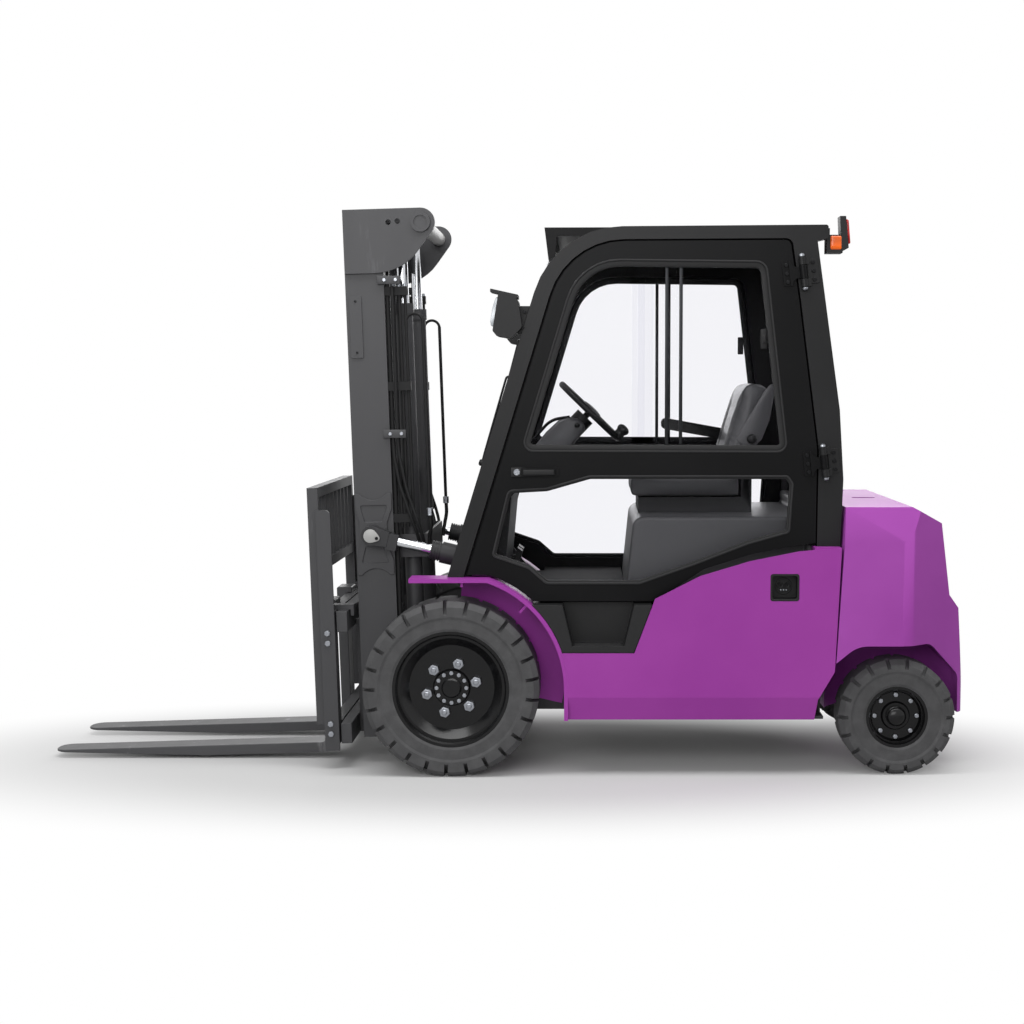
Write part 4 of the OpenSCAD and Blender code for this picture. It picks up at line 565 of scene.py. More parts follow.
# stretched vinyl of the seat: a soft pebble and a satin gloss
SEAT_COVER = moulded_plastic("grey_seat_vinyl", "#474749", 0.42, 3, 0.12, shine=0.4)
# toughened float glass of the cab
GLASS = safety_glass("clear_safety_glass", "#fdfdfe")
# moulded acrylic lenses: the coloured ones get a faint painted glow that stands in for the light their
# reflectors throw back
AMBER_LENS = lamp_lens("amber_lens", "#e2600c", 56.55, 0.15)
RED_LENS = lamp_lens("red_lens", "#b01512", 56.55, 0.1)
CLEAR_LENS = lamp_lens("clear_lens", "#cfd4d8", 75.4)

NODE_FINISH = {
    PURPLE: ["side_frames"],
    CAST_PURPLE_PAINTED_LIGHT: ["counterweight"],
    FRAME_BLACK_PAINTED_SHEEN: ["cab_sides"],
    CAB_BLACK: ["roof", "front_panel", "door_left", "door_right"],
    RIM_BLACK: ["front_rim_left", "front_rim_right", "rear_rim_left", "rear_rim_right"],
    MAST_GREY: ["outer_mast", "mast_brackets", "lift_cylinders", "inner_mast", "carriage", "side_shifter",
                "load_backrest"],
    CHASSIS: ["frame_core", "battery", "drive_axle", "steer_axle", "knuckle_left", "knuckle_right",
              "seat_mount", "tilt_barrel_left", "tilt_barrel_right", "tilt_eye_left", "tilt_eye_right",
              "tow_pin"],
    PALE_GREY: ["head_tube"],
    FORK_PAINT: ["forks"],
    FLOOR_MAT: ["cab_floor"],
    BLACK_PLASTIC: ["steps", "armrest", "dash", "pedals", "work_lamps", "tail_lamps", "charge_socket",
                    "steering_wheel"],
    GREY_PLASTIC: ["seat_console"],
    CHROME: ["lift_rods", "tilt_rod_left", "tilt_rod_right"],
    OILED_STEEL: ["chain_sheaves", "lift_chains"],
    TYRE_RUBBER: ["front_tyre_left", "front_tyre_right", "rear_tyre_left", "rear_tyre_right"],
    HOSE_RUBBER: ["mast_hoses"],
    SEAT_COVER: ["seat_cushion", "seat_back"],
    GLASS: ["windscreen", "rear_window", "door_glass_left", "door_glass_right"],
}

# width in millimetres of the small round on each node's outer edges
EDGE_ROUND = {
    "counterweight": 14, "cab_sides": 8, "roof": 5, "door_left": 5, "door_right": 5, "steps": 5,
    "outer_mast": 3, "mast_brackets": 4, "inner_mast": 2, "carriage": 3, "side_shifter": 3, "forks": 3,
    "load_backrest": 3, "seat_console": 14, "dash": 10, "frame_core": 2, "armrest": 9, "work_lamps": 4,
    "tail_lamps": 3, "seat_mount": 3, "front_panel": 2, "cab_floor": 3, "charge_socket": 3, "pedals": 2,
    "tilt_eye_left": 3, "tilt_eye_right": 3,
}
NODE_WELD_MM = 0.02
NODE_FLAT_TO, NODE_ROUND_FROM = math.radians(0.5), math.radians(38)


def dress_nodes():
    """Every node takes its finish, and the pressed, cast and moulded ones get rounded edges."""
    for finish, names in NODE_FINISH.items():
        for name in names:
            node = NODES[name]
            node.data.materials.clear()
            node.data.materials.append(finish)
    for name, width in EDGE_ROUND.items():
        node = NODES[name]
        modify(node, "weld", "WELD", merge_threshold=NODE_WELD_MM * MM)
        modify(node, "flat", "DECIMATE", decimate_type="DISSOLVE", angle_limit=NODE_FLAT_TO)
        modify(node, "round", "BEVEL", width=width * MM, segments=3, limit_method="ANGLE",
               angle_limit=NODE_ROUND_FROM, use_clamp_overlap=True)
        modify(node, "even", "WEIGHTED_NORMAL", weight=100, keep_sharp=True)
    for node in NODES.values():
        pick_only(node)
        bpy.ops.object.shade_smooth_by_angle(angle=math.radians(SMOOTH_TO))


# Wheels

FRONT_NUT_R, FRONT_NUTS = 102, 6
FRONT_NUT_TURN = math.radians(14)
FRONT_FLANGE_R, FRONT_FLANGE_BOLTS = 60, 12
FRONT_DISC_Y, FRONT_FLANGE_Y = 551, 563
REAR_BOLT_R, REAR_BOLTS = 86, 8
REAR_DISC_Y, REAR_CAP_Y = 526, 552
# width and height of each fastener, and the radius and length of the stud's end on a nut
WHEEL_NUT, HUB_BOLT, REAR_BOLT = (44, 24, 11, 9), (17, 9), (19, 11)
HUB_DOME = [(38, 0), (39, 3), (37, 8), (30, 15), (18, 20), (0, 22)]


def wheel_ring(axle, r, count, y, turn=0.0):
    """Places round a wheel's axle on a face that looks to the left."""
    places = []
    for i in range(count):
        a = turn + math.tau * i / count
        point = Vector((axle.x - math.cos(a) * r * MM, y * MM, axle.z + math.sin(a) * r * MM))
        places.append(standing(point, LEFT, a))
    return places


def make_wheel_fasteners():
    """Nuts, flange bolts and hub caps of the four wheels."""
    front = Vector(JOINTS["front_left_wheel"]["pos_m"])
    rear = Vector(JOINTS["rear_left_wheel"]["pos_m"])
    nuts = wheel_ring(front, FRONT_NUT_R, FRONT_NUTS, FRONT_DISC_Y, FRONT_NUT_TURN)
    bolts = wheel_ring(front, FRONT_FLANGE_R, FRONT_FLANGE_BOLTS, FRONT_FLANGE_Y)
    studs = wheel_ring(rear, REAR_BOLT_R, REAR_BOLTS, REAR_DISC_Y)
    cap = [standing(Vector((rear.x, REAR_CAP_Y * MM, rear.z)), LEFT)]
    for name, pattern, places, wheel, slot, finish in (
            ("front_wheel_nuts_left", hex_bolt("nut", *WHEEL_NUT), nuts, "front_wheel", "bare_steel", ZINC),
            ("front_hub_bolts_left", hex_bolt("bolt", *HUB_BOLT), bolts, "front_wheel", "bare_steel", ZINC),
            ("rear_wheel_bolts_left", hex_bolt("stud", *REAR_BOLT), studs, "rear_wheel", "bare_steel", ZINC),
            ("rear_hub_dome_left", turned("dome", HUB_DOME, 32), cap, "rear_wheel", "rim_paint", RIM_BLACK)):
        right_hand(set_out(name, pattern, places, wheel + "_left", finish), wheel + "_right")


ARCH_R, ARCH_INNER_R, ARCH_STEPS = 452, 300, 28
ARCH_FROM, ARCH_TO = math.radians(94), math.radians(193)
ARCH_Y = (360.2, 363)


def axle_arc(r, start, end):
    """Points along an arc about the front axle, seen from the side, in millimetres."""
    turns = [start + (end - start) * k / ARCH_STEPS for k in range(ARCH_STEPS + 1)]
    return [(r * math.cos(a), FRONT_AXLE.z / MM + r * math.sin(a)) for a in turns]


def make_arch_liners():
    """Painted inner walls of the front wheel arches, on the frame's side rails behind the tyres."""
    outline = axle_arc(ARCH_R, ARCH_FROM, ARCH_TO) + axle_arc(ARCH_INNER_R, ARCH_TO, ARCH_FROM)
    wall = side_plate("arch_liners", outline, *ARCH_Y)
    finish_piece(twinned(wall), "chassis", PURPLE)


# Seat

SEAT_SHRINK = 9
SEAM_Y, SEAM_HALF = 152, 5
PAD_ROUND, PAD_VOXEL, PAD_CAP = 26, 7, 24
PAD_PRESSURE, PAD_FRAMES, PAD_FILL = 4, 20, 0.8
CUSHION_SEAM_XS = (-830, -950, -1070)
CUSHION_REST, CUSHION_SIDE_SEAM, CUSHION_CROSS_SEAM = 14, 30, 60
BACK_FOOT, BACK_LEAN = (-1092, 0, 1218), math.radians(17)
BACK_SEAM_RISES = (90, 180, 270)
BACK_SEAM_DEPTH, BACK_REST_DEPTH = -60, -104


def sewn_pad(name, node, sewn, rests):
    """A stuffed pad in a CAD node's space: remeshed, held where it is sewn or rests, and blown up."""
    pad = bpy.data.objects.new(name, NODES[node].data.copy())
    bpy.context.collection.objects.link(pad)
    face_out(pad)
    low, high = (Vector(corner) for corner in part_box(node))
    mid = (low + high) / 2
    scale = [1 - 2 * SEAT_SHRINK * MM / side for side in high - low]
    pad.data.transform(Matrix.Translation(mid) @ Matrix.Diagonal(scale).to_4x4() @ Matrix.Translation(-mid))
    modify(pad, "round", "BEVEL", width=PAD_ROUND * MM, segments=4, limit_method="ANGLE")
    modify(pad, "remesh", "REMESH", mode="VOXEL", voxel_size=PAD_VOXEL * MM)
    apply_all(pad)
    start = [v.co.copy() for v in pad.data.vertices]
    held = pad.vertex_groups.new(name="sewn")
    held.add([i for i, co in enumerate(start) if rests(co) or sewn(co)], 1.0, "REPLACE")
    cloth = pad.modifiers.new("stuffing", "CLOTH")
    cloth.settings.use_pressure = True
    cloth.settings.uniform_pressure_force = PAD_PRESSURE
    cloth.settings.effector_weights.gravity = 0
    cloth.settings.vertex_group_mass = held.name
    for step in range(1, PAD_FRAMES + 1):
        bpy.context.scene.frame_set(step)
    apply_all(pad)
    for vertex, rest in zip(pad.data.vertices, start):
        move = vertex.co - rest
        if move.length > PAD_CAP * MM:
            vertex.co = rest + move.normalized() * (PAD_CAP * MM)
    bpy.context.scene.frame_set(1)
    pad.vertex_groups.clear()
    modify(pad, "smooth", "SUBSURF", levels=1, render_levels=1)
    apply_all(pad)
    finish_piece(pad, "chassis", SEAT_COVER, 80)
    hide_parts(node)


def make_seat():
    """Seat cushion and back, each with two side bolsters and sewn cross channels."""
    low, high = (Vector(corner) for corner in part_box("seat_cushion"))
    foot = at(*BACK_FOOT)
    along = Vector((-math.sin(BACK_LEAN), 0, math.cos(BACK_LEAN)))
    ahead = Vector((math.cos(BACK_LEAN), 0, math.sin(BACK_LEAN)))

    def near(value, seam):
        return abs(value - seam) < SEAM_HALF * MM

    def on_side_seam(co):
        return any(near(co.y, side * SEAM_Y * MM) for side in (-1, 1))

    def on_cushion_seam(co):
        between = abs(co.y) < SEAM_Y * MM and co.z > high.z - CUSHION_CROSS_SEAM * MM
        if between and any(near(co.x, at(x, 0, 0).x) for x in CUSHION_SEAM_XS):
            return True
        return on_side_seam(co) and co.z > low.z + CUSHION_SIDE_SEAM * MM

    def depth(co):
        return (co - foot).dot(ahead)

    def on_back_seam(co):
        rise = (co - foot).dot(along)
        rung = abs(co.y) < SEAM_Y * MM and any(near(rise, height * MM) for height in BACK_SEAM_RISES)
        return depth(co) > BACK_SEAM_DEPTH * MM and (rung or on_side_seam(co))

    sewn_pad("seat_cushion_pad", "seat_cushion", on_cushion_seam, lambda co: co.z < low.z + CUSHION_REST * MM)
    sewn_pad("seat_back_pad", "seat_back", on_back_seam, lambda co: depth(co) < BACK_REST_DEPTH * MM)


# Doors

CAB_FRONT, CAB_LENGTH, CAB_FOOT, CAB_RISE = 17, 1592, 800, 1405
DOOR_Y = 540
# corners of the windows as shares of the cab's length and rise, and the round of each corner
HIGH_WINDOW_SHARES = [(0.185, 0.359), (0.333, 0.906), (0.803, 0.9), (0.86, 0.357)]
HIGH_WINDOW_R = [40, 220, 50, 40]
LOW_WINDOW_SHARES = [(0.112, 0.06), (0.154, 0.252), (0.252, 0.258), (0.36, 0.293), (0.86, 0.293),
                     (0.874, 0.27), (0.866, 0.128), (0.76, 0.094), (0.626, 0.035), (0.487, -0.02),
                     (0.249, -0.02), (0.205, 0.024)]
LOW_WINDOW_R = [20, 30, 60, 60, 20, 20, 20, 60, 60, 40, 40, 40]
# back and front from the door's face, edge round and width of the rings in the high and the low window
FRAME_RINGS = [(-19.5, -6, 3, 30), (-19.5, -8, 3, 16)]
SEAL_RINGS = [(-12, 2, 3, 8), (-12, 3, 3, 8)]
# opposite corners of the small boxes on a door, and the round of their edges
HANDLE_COVER = [((-289, DOOR_Y + 18, 1207), (-243, DOOR_Y + 20, 1243), 1.0),
                ((-414, DOOR_Y + 24, 1215), (-292, DOOR_Y + 26, 1235), 1.0)]
PANE_BARS = [((-872, 503, 1300), (-858, 518, 2068), 2.5), ((-928, 511, 1300), (-914, 524, 2068), 2.5)]
PANE_LATCH = [((-1266, 511, 1715), (-1240, 520, 1795), 4), ((-1260, 516, 1738), (-1246, 534, 1772), 5)]
LOCK_AT = (-266, DOOR_Y + 20, 1225)
LOCK = [(0, 5), (4, 5), (4.5, 3), (8, 3), (9.5, 4.5), (12, 4.5), (13.5, 2), (13.5, 0)]
HINGES = [(-1402, 2018), (-1493, 1265)]
HINGE_LEAN = math.atan2(HINGES[0][0] - HINGES[1][0], HINGES[0][1] - HINGES[1][1])
HINGE_FACE_Y, HINGE_Y, HINGE_HALF = 548, 562, 66
HINGE_BOLT, HINGE_BOLT_UPS = (17, 7), (-34, 0, 34)
LEAF_ALONG, PILLAR_ALONG = 64, -42
HINGE_CAP = [(0, 9), (6, 8), (11, 4), (12, 0), (12, -4), (0, -4)]


def cab_outline(shares, radii, steps=6):
    points = [(CAB_FRONT - s * CAB_LENGTH, CAB_FOOT + h * CAB_RISE) for s, h in shares]
    return softened(points, radii, steps)


def window_rings(name, rings):
    """A ring along the edge of the high window and one along the low window, as one piece."""
    outlines = (cab_outline(HIGH_WINDOW_SHARES, HIGH_WINDOW_R), cab_outline(LOW_WINDOW_SHARES, LOW_WINDOW_R))
    return join(name, [side_plate("ring", outline, DOOR_Y + back, DOOR_Y + front, edge, width)
                       for outline, (back, front, edge, width) in zip(outlines, rings)])


def boxes(name, corners):
    """Rounded boxes between pairs of corners, as one piece."""
    return join(name, [rounded_box("box", at(*low), at(*high), edge) for low, high, edge in corners])


def at_hinge(place, along, up, y):
    """A point beside a hinge's pin, in the hinge's own leaning frame."""
    c, s = math.cos(HINGE_LEAN), math.sin(HINGE_LEAN)
    return at(place[0] + along * c + up * s, y, place[1] - along * s + up * c)


def hinge_bolts(name, along, body):
    """The bolts of one leaf of both hinges of the left door."""
    bolt = hex_bolt("bolt", *HINGE_BOLT)
    places = [standing(at_hinge(pin, along, up, HINGE_FACE_Y), LEFT, up)
              for pin in HINGES for up in HINGE_BOLT_UPS]
    return set_out(name, bolt, places, body, BOLT_BLACK)


def make_door_trim():
    """Window frames and seals, handle cover, sliding-pane bars, latch, lock and hinge bolts of the doors."""
    body = "cab_door_left"
    lock = turned("door_lock_left", LOCK, 28, standing(at(*LOCK_AT), LEFT))
    pieces = [
        finish_piece(window_rings("window_frames_left", FRAME_RINGS), body, BLACK_PLASTIC),
        finish_piece(window_rings("window_seals_left", SEAL_RINGS), body, SEAL_RUBBER),
        finish_piece(boxes("door_handle_cover_left", HANDLE_COVER), body, BLACK_PLASTIC),
        finish_piece(boxes("pane_bars_left", PANE_BARS), body, BAR_GREY),
        finish_piece(boxes("pane_latch_left", PANE_LATCH), body, BLACK_PLASTIC),
        finish_piece(lock, body, ZINC),
        hinge_bolts("hinge_leaf_bolts_left", LEAF_ALONG, body)]
    for piece in pieces:
        right_hand(piece, "cab_door_right")


# the open edge of the cab frame round a door, from its rear foot over the top to its front foot
DOOR_OPENING_SHARES = [(0.934, 0.089), (0.9366, 0.366), (0.8876, 0.789), (0.865, 0.962), (0.3035, 0.958),
                       (0.041, 0)]
DOOR_OPENING_R, DOOR_OPENING_STEPS = [0, 0, 0, 30, 310, 0], 24
SEAL_GAP, SEAL_WIDTH, SEAL_ROUND = 0.3, 28, 3
SEAL_Y = (482, 494)


def drawn_in(points, inset):
    """An open outline moved to its right by that many millimetres."""
    out = []
    for i, here in enumerate(points):
        before, after = Vector(points[max(i - 1, 0)]), Vector(points[min(i + 1, len(points) - 1)])
        along = (after - before).normalized()
        out.append((here[0] + along.y * inset, here[1] - along.x * inset))
    return out


def make_door_seals():
    """Rubber strips on the cab frame that each door shuts against, so that no light shows round its edge."""
    edge = cab_outline(DOOR_OPENING_SHARES, DOOR_OPENING_R, DOOR_OPENING_STEPS)
    strip = drawn_in(edge, SEAL_GAP) + drawn_in(edge, SEAL_WIDTH)[::-1]
    seal = side_plate("door_seals", strip, *SEAL_Y, SEAL_ROUND)
    finish_piece(twinned(seal), "chassis", SEAL_RUBBER)


def make_hinge_fasteners():
    """Bolts of the hinges' pillar leaves and the bright caps on their pins."""
    right_hand(hinge_bolts("hinge_pillar_bolts", PILLAR_ALONG, "chassis"), "chassis")
    cap = turned("cap", HINGE_CAP, 20)
    axis = Vector((math.sin(HINGE_LEAN), 0, math.cos(HINGE_LEAN)))
    ends = [standing(at_hinge(pin, 0, side * HINGE_HALF, HINGE_Y), axis * side)
            for pin in HINGES for side in (-1, 1)]
    right_hand(set_out("hinge_pin_caps", cap, ends, "chassis", ZINC), "chassis")


# Lamps

LAMP_LENS = [(-203, 1922), (-186, 1918), (-172, 1880), (-163, 1824), (-166, 1804), (-185, 1802)]
LAMP_LENS_Y, LAMP_LENS_ROUND = (488, 564), 5
AMBER_LOW, AMBER_HIGH, AMBER_ROUND = (-1564, 428, 2109), (-1515, 502, 2166), 9
TAIL_LENS = [(-1588, 2132), (-1580, 2232), (-1590, 2228), (-1598, 2136)]
TAIL_LENS_Y, TAIL_LENS_ROUND = (438, 492), 3
LAMP_BOLT, LAMP_BOLTS, LAMP_BOLT_Y = (15, 7), [(-298, 1862), (-290, 1800)], 540


def make_lamps():
    """Lenses of the work lamps and of the rear lamps, and the bolts of the work lamps' brackets."""
    clear = side_plate("work_lamp_lenses", LAMP_LENS, *LAMP_LENS_Y, LAMP_LENS_ROUND)
    amber = rounded_box("amber_lamp_lenses", at(*AMBER_LOW), at(*AMBER_HIGH), AMBER_ROUND, 4)
    red = side_plate("red_lamp_lenses", TAIL_LENS, *TAIL_LENS_Y, TAIL_LENS_ROUND)
    for lens, finish in ((clear, CLEAR_LENS), (amber, AMBER_LENS), (red, RED_LENS)):
        finish_piece(twinned(lens), "chassis", finish, 50)
    bolt = hex_bolt("bolt", *LAMP_BOLT)
    feet = [standing(at(x, LAMP_BOLT_Y, z), LEFT) for x, z in LAMP_BOLTS]
    right_hand(set_out("lamp_bracket_bolts", bolt, feet, "chassis", BOLT_BLACK), "chassis")


# Mast

PIN = (336.6, 959)
KEEPER_Y, KEEPER_THICK, KEEPER_ROUND = 451.3, 7, 1.5
KEEPER_R, KEEPER_TAIL_R, KEEPER_TAIL = 28, 12, (-26, -9)
PIPE_US, PIPE_Y, PIPE_TOP = (197.7, 173.7, 149.7), 352, 1600
GUARD_SCREWS, GUARD_Y = [(351, 1568), (351, 1360)], 376
HEAD_SCREW = (203, 375, 1882)
PLATE_BOLTS = [(505, 224), (505, 183), (507, -150), (507, -191)]
PLATE_BOLT, KEEPER_BOLT, GUARD_SCREW = (24, 10), (14, 6), (10, 4)
PIPE_UNION, UNION_SINK = (22, 26, 8, 14), 4


TEARDROP_STEPS, TEARDROP_TAIL_STEPS = 14, 7


def teardrop(big, small, tail):
    """Outline of a disc drawn out to a smaller round end."""
    reach = Vector(tail)
    base = math.atan2(reach.y, reach.x)
    spread = math.acos((big - small) / reach.length)
    points = []
    for k in range(TEARDROP_STEPS + 1):
        a = base + spread + (math.tau - 2 * spread) * k / TEARDROP_STEPS
        points.append((big * math.cos(a), big * math.sin(a)))
    for k in range(TEARDROP_TAIL_STEPS + 1):
        a = base - spread + 2 * spread * k / TEARDROP_TAIL_STEPS
        points.append((reach.x + small * math.cos(a), reach.y + small * math.sin(a)))
    return points


def make_mast_fittings():
    """Keeper plates of the tilt pins, pipe unions, and the screws of the mast's guards and plates."""
    outline = [(PIN[0] + x, PIN[1] + z) for x, z in teardrop(KEEPER_R, KEEPER_TAIL_R, KEEPER_TAIL)]
    keeper_face = KEEPER_Y + KEEPER_THICK
    keeper = side_plate("tilt_keepers", outline, KEEPER_Y, keeper_face, KEEPER_ROUND)
    finish_piece(twinned(keeper), "mast", PALE_GREY)
    tail = [standing(at(PIN[0] + KEEPER_TAIL[0], keeper_face, PIN[1] + KEEPER_TAIL[1]), LEFT)]
    screws = [standing(at_mast(u, GUARD_Y, w), LEFT, u) for u, w in GUARD_SCREWS]
    screws.append(standing(at_mast(*HEAD_SCREW), LEFT))
    tops = [standing(at_mast(u, PIPE_Y, PIPE_TOP - UNION_SINK), MAST_UP, u) for u in PIPE_US]
    plate_y = max(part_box("load_backrest")[1][1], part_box("side_shifter")[1][1]) / MM
    heads = [standing(at_mast(u, plate_y, w), LEFT, w) for u, w in PLATE_BOLTS]
    for name, size, places, body, slot, finish in (
            ("tilt_keeper_bolts", KEEPER_BOLT, tail, "mast", "charcoal_steel", BOLT_BLACK),
            ("mast_guard_screws", GUARD_SCREW, screws, "mast", "charcoal_steel", BOLT_BLACK),
            ("mast_pipe_unions", PIPE_UNION, tops, "mast", "bare_steel", ZINC),
            ("backrest_bolts", PLATE_BOLT, heads, "shift_frame", "bare_steel", ZINC)):
        right_hand(set_out(name, hex_bolt("bolt", *size), places, body, finish), body)


HOSE_LOOP_U, HOSE_TAIL_R, HOSE_TAIL_BEND = 81.7, 8, 20
# places along a tail: u from the hose's loop, y from the pipes, and w on the mast
HOSE_TAIL = [(0, 0, 700), (-2, -4, 640), (8, -26, 590), (14, -44, 540)]
HOSE_UNION, HOSE_UNION_W = (26, 30), 684


def make_hose_tails():
    """Tails of the looped mast hoses, down behind the lift cylinders, with their end unions."""
    path = [at_mast(HOSE_LOOP_U + u, PIPE_Y + y, w) for u, y, w in HOSE_TAIL]
    tail = bent_bar("hose_tails", path, HOSE_TAIL_R, HOSE_TAIL_BEND)
    finish_piece(twinned(tail), "mast", HOSE_RUBBER, 60)
    union = hex_bolt("union", *HOSE_UNION)
    ends = [standing(at_mast(HOSE_LOOP_U, PIPE_Y, HOSE_UNION_W), MAST_UP)]
    right_hand(set_out("hose_unions", union, ends, "mast", ZINC), "mast")


CLAMP_WS, CLAMP_BOLT_US, CLAMP_BOLT = (1650, 1025), (182, 228), (15, 6)
# the blocks of a clamp: u of its middle, y of its two faces, half its length and height, and its edge round
CLAMP_PLATE, CLAMP_FOOT = (211, 382, 388, 47, 17, 2), (246, 370, 382, 11, 15, 1)
SIDE_HOSE_Y, SIDE_HOSE_R, SIDE_HOSE_BEND = 374, 7, 24
# places along the two hoses beside the pipes: u and w on the mast, and how far each is drawn in from the side
SIDE_HOSES = [[(199, 1628, 0), (200, 1009, 0), (197, 939, 0), (173, 799, 0), (133, 667, 0), (118, 610, 18),
               (112, 556, 44)],
              [(220, 1046, 0), (217, 930, 0), (198, 809, 0), (158, 678, 0), (138, 612, 20), (130, 560, 46)]]


def clamp_block(w, u, y_in, y_out, half_long, half_high, edge):
    """A rounded block on the mast's left side."""
    low, high = Vector((-half_long, -half_high, 0)), Vector((half_long, half_high, y_out - y_in))
    block = rounded_box("block", low * MM, high * MM, edge)
    block.data.transform(standing(at_mast(u, y_in, w), LEFT))
    return block


def make_side_hoses():
    """Clamps on the mast's side with their bolts, and the hoses that run down under them."""
    blocks = [clamp_block(w, *size) for w in CLAMP_WS for size in (CLAMP_PLATE, CLAMP_FOOT)]
    clamps = finish_piece(join("pipe_clamps", blocks), "mast", MAST_GREY)
    bolt = hex_bolt("bolt", *CLAMP_BOLT)
    heads = [standing(at_mast(u, CLAMP_PLATE[2], w), LEFT, u) for w in CLAMP_WS for u in CLAMP_BOLT_US]
    bolts = set_out("pipe_clamp_bolts", bolt, heads, "mast", ZINC)
    lines = [bent_bar("line", [at_mast(u, SIDE_HOSE_Y - inward, w) for u, w, inward in route], SIDE_HOSE_R,
                      SIDE_HOSE_BEND) for route in SIDE_HOSES]
    hoses = finish_piece(join("side_hoses", lines), "mast", HOSE_RUBBER, 60)
    for piece in (clamps, bolts, hoses):
        right_hand(piece, "mast")


# Driver's place

COLUMN_COWL = [(-268, 1232), (-303, 1290), (-368, 1372), (-424, 1424), (-462, 1436), (-505, 1428),
               (-536, 1402), (-534, 1378), (-458, 1283), (-420, 1232)]
COWL_HALF, COWL_ROUND = 66, 14
TILT_BAR = [(-268, 1290), (-389, 1425), (-470, 1436)]
TILT_BAR_Y, TILT_BAR_R, TILT_BAR_BEND = 52, 7, 40
WHEEL_MID, WHEEL_TIP = (-557, 1459), math.radians(44)
WHEEL_HUB = [(0, 24), (22, 23), (44, 19), (54, 11), (56, 4), (56, -12), (50, -16), (44, -16)]
KNOB_R, KNOB_ANGLE = 166, math.radians(160)
KNOB = [(0, 62), (14, 60), (24, 54), (28, 45), (27, 37), (23, 30), (22.4, 28)]
SEAT_SIDE = [(-1166, 1345), (-1188, 1385), (-1282, 1545), (-1318, 1585), (-1330, 1560), (-1306, 1427),
             (-1274, 1345), (-1222, 1296)]
SEAT_SIDE_R = [12, 60, 30, 12, 12, 60, 20, 20]
SEAT_SIDE_Y, SEAT_SIDE_ROUND = (250, 257), 2.5
RECLINE_KNOB_AT = (-1232, SEAT_SIDE_Y[1], 1348)
RECLINE_KNOB = [(0, 20), (14, 19), (20, 14), (21, 6), (17, 0), (0, 0)]


def on_wheel(x, y):
    """A point in the steering wheel's plane, from its middle, in millimetres along its own axes."""
    return at(WHEEL_MID[0] + x * math.cos(WHEEL_TIP), y, WHEEL_MID[1] + x * math.sin(WHEEL_TIP))


def make_controls():
    """Steering column's cowl and tilt bar, the wheel's hub cover and knob, and the seat's side covers."""
    cowl = side_plate("column_cowl", COLUMN_COWL, -COWL_HALF, COWL_HALF, COWL_ROUND)
    finish_piece(cowl, "chassis", GREY_PLASTIC, 50)
    bar = bent_bar("column_tilt_bar", [at(x, TILT_BAR_Y, z) for x, z in TILT_BAR], TILT_BAR_R, TILT_BAR_BEND)
    finish_piece(bar, "chassis", BOLT_BLACK, 60)
    axis = Vector((-math.sin(WHEEL_TIP), 0, math.cos(WHEEL_TIP)))
    hub = turned("steering_hub_cover", WHEEL_HUB, 40, standing(on_wheel(0, 0), axis))
    finish_piece(hub, "hand_wheel", GREY_PLASTIC, 50)
    rim = on_wheel(KNOB_R * math.cos(KNOB_ANGLE), KNOB_R * math.sin(KNOB_ANGLE))
    knob = turned("steering_knob", KNOB, 32, standing(rim, axis))
    finish_piece(knob, "hand_wheel", BLACK_PLASTIC, 60)
    side = side_plate("seat_side_covers", softened(SEAT_SIDE, SEAT_SIDE_R), *SEAT_SIDE_Y, SEAT_SIDE_ROUND)
    finish_piece(twinned(side), "chassis", GREY_PLASTIC)
    handle = turned("seat_recline_knobs", RECLINE_KNOB, 24, standing(at(*RECLINE_KNOB_AT), LEFT))
    finish_piece(twinned(handle), "chassis", BLACK_PLASTIC, 50)


WIPER_PIVOT, WIPER_TIP = (-103, 210, 1246), (-204, 270, 1612)
WIPER_BOSS = [(0, 14), (10, 13), (14, 8), (15, -34), (0, -34)]
# the arm's radius and bend, where it first bends, and how far in from its tip it ends
ARM_R, ARM_BEND, ARM_BEND_SHARE, ARM_ENDS_IN = 5, 14, 0.12, (8, 18)
# the blade's radius, how far in it lies, and its reach below and above the arm's tip
BLADE_R, BLADE_IN, BLADE_REACHES = 6, 20, (-230, 161)


def make_wiper():
    """Windscreen wiper: a boss at the screen's foot, a bent arm and a blade."""
    foot, tip = at(*WIPER_PIVOT), at(*WIPER_TIP)
    slope = Vector((WIPER_TIP[0] - WIPER_PIVOT[0], WIPER_TIP[2] - WIPER_PIVOT[2])).normalized()
    out = Vector((slope.y, 0, -slope.x))
    boss = turned("boss", WIPER_BOSS, 20, standing(foot, out))
    ends = [tip - out * (inward * MM) for inward in ARM_ENDS_IN]
    arm = bent_bar("arm", [foot, foot.lerp(tip, ARM_BEND_SHARE)] + ends, ARM_R, ARM_BEND)
    along = (tip - foot).normalized()
    mid = tip - out * (BLADE_IN * MM)
    blade = bent_bar("blade", [mid + along * (reach * MM) for reach in BLADE_REACHES], BLADE_R)
    finish_piece(join("windscreen_wiper", [boss, arm, blade]), "chassis", BLACK_PLASTIC, 60)


# Charging socket

SOCKET, SOCKET_FLOOR = (-1336, 766), 545.7
SLEEVE = [(0, 2), (6, 2), (6, 14), (9, 15), (10, 14), (10, -1), (0, -1)]
SLEEVE_XS, SLEEVE_UP = (-13, 13), 4
PILOT = [(0, 12), (2.6, 11), (3, 9), (3, -1), (0, -1)]
PILOT_XS, PILOT_UP = (-11, 0, 11), -15


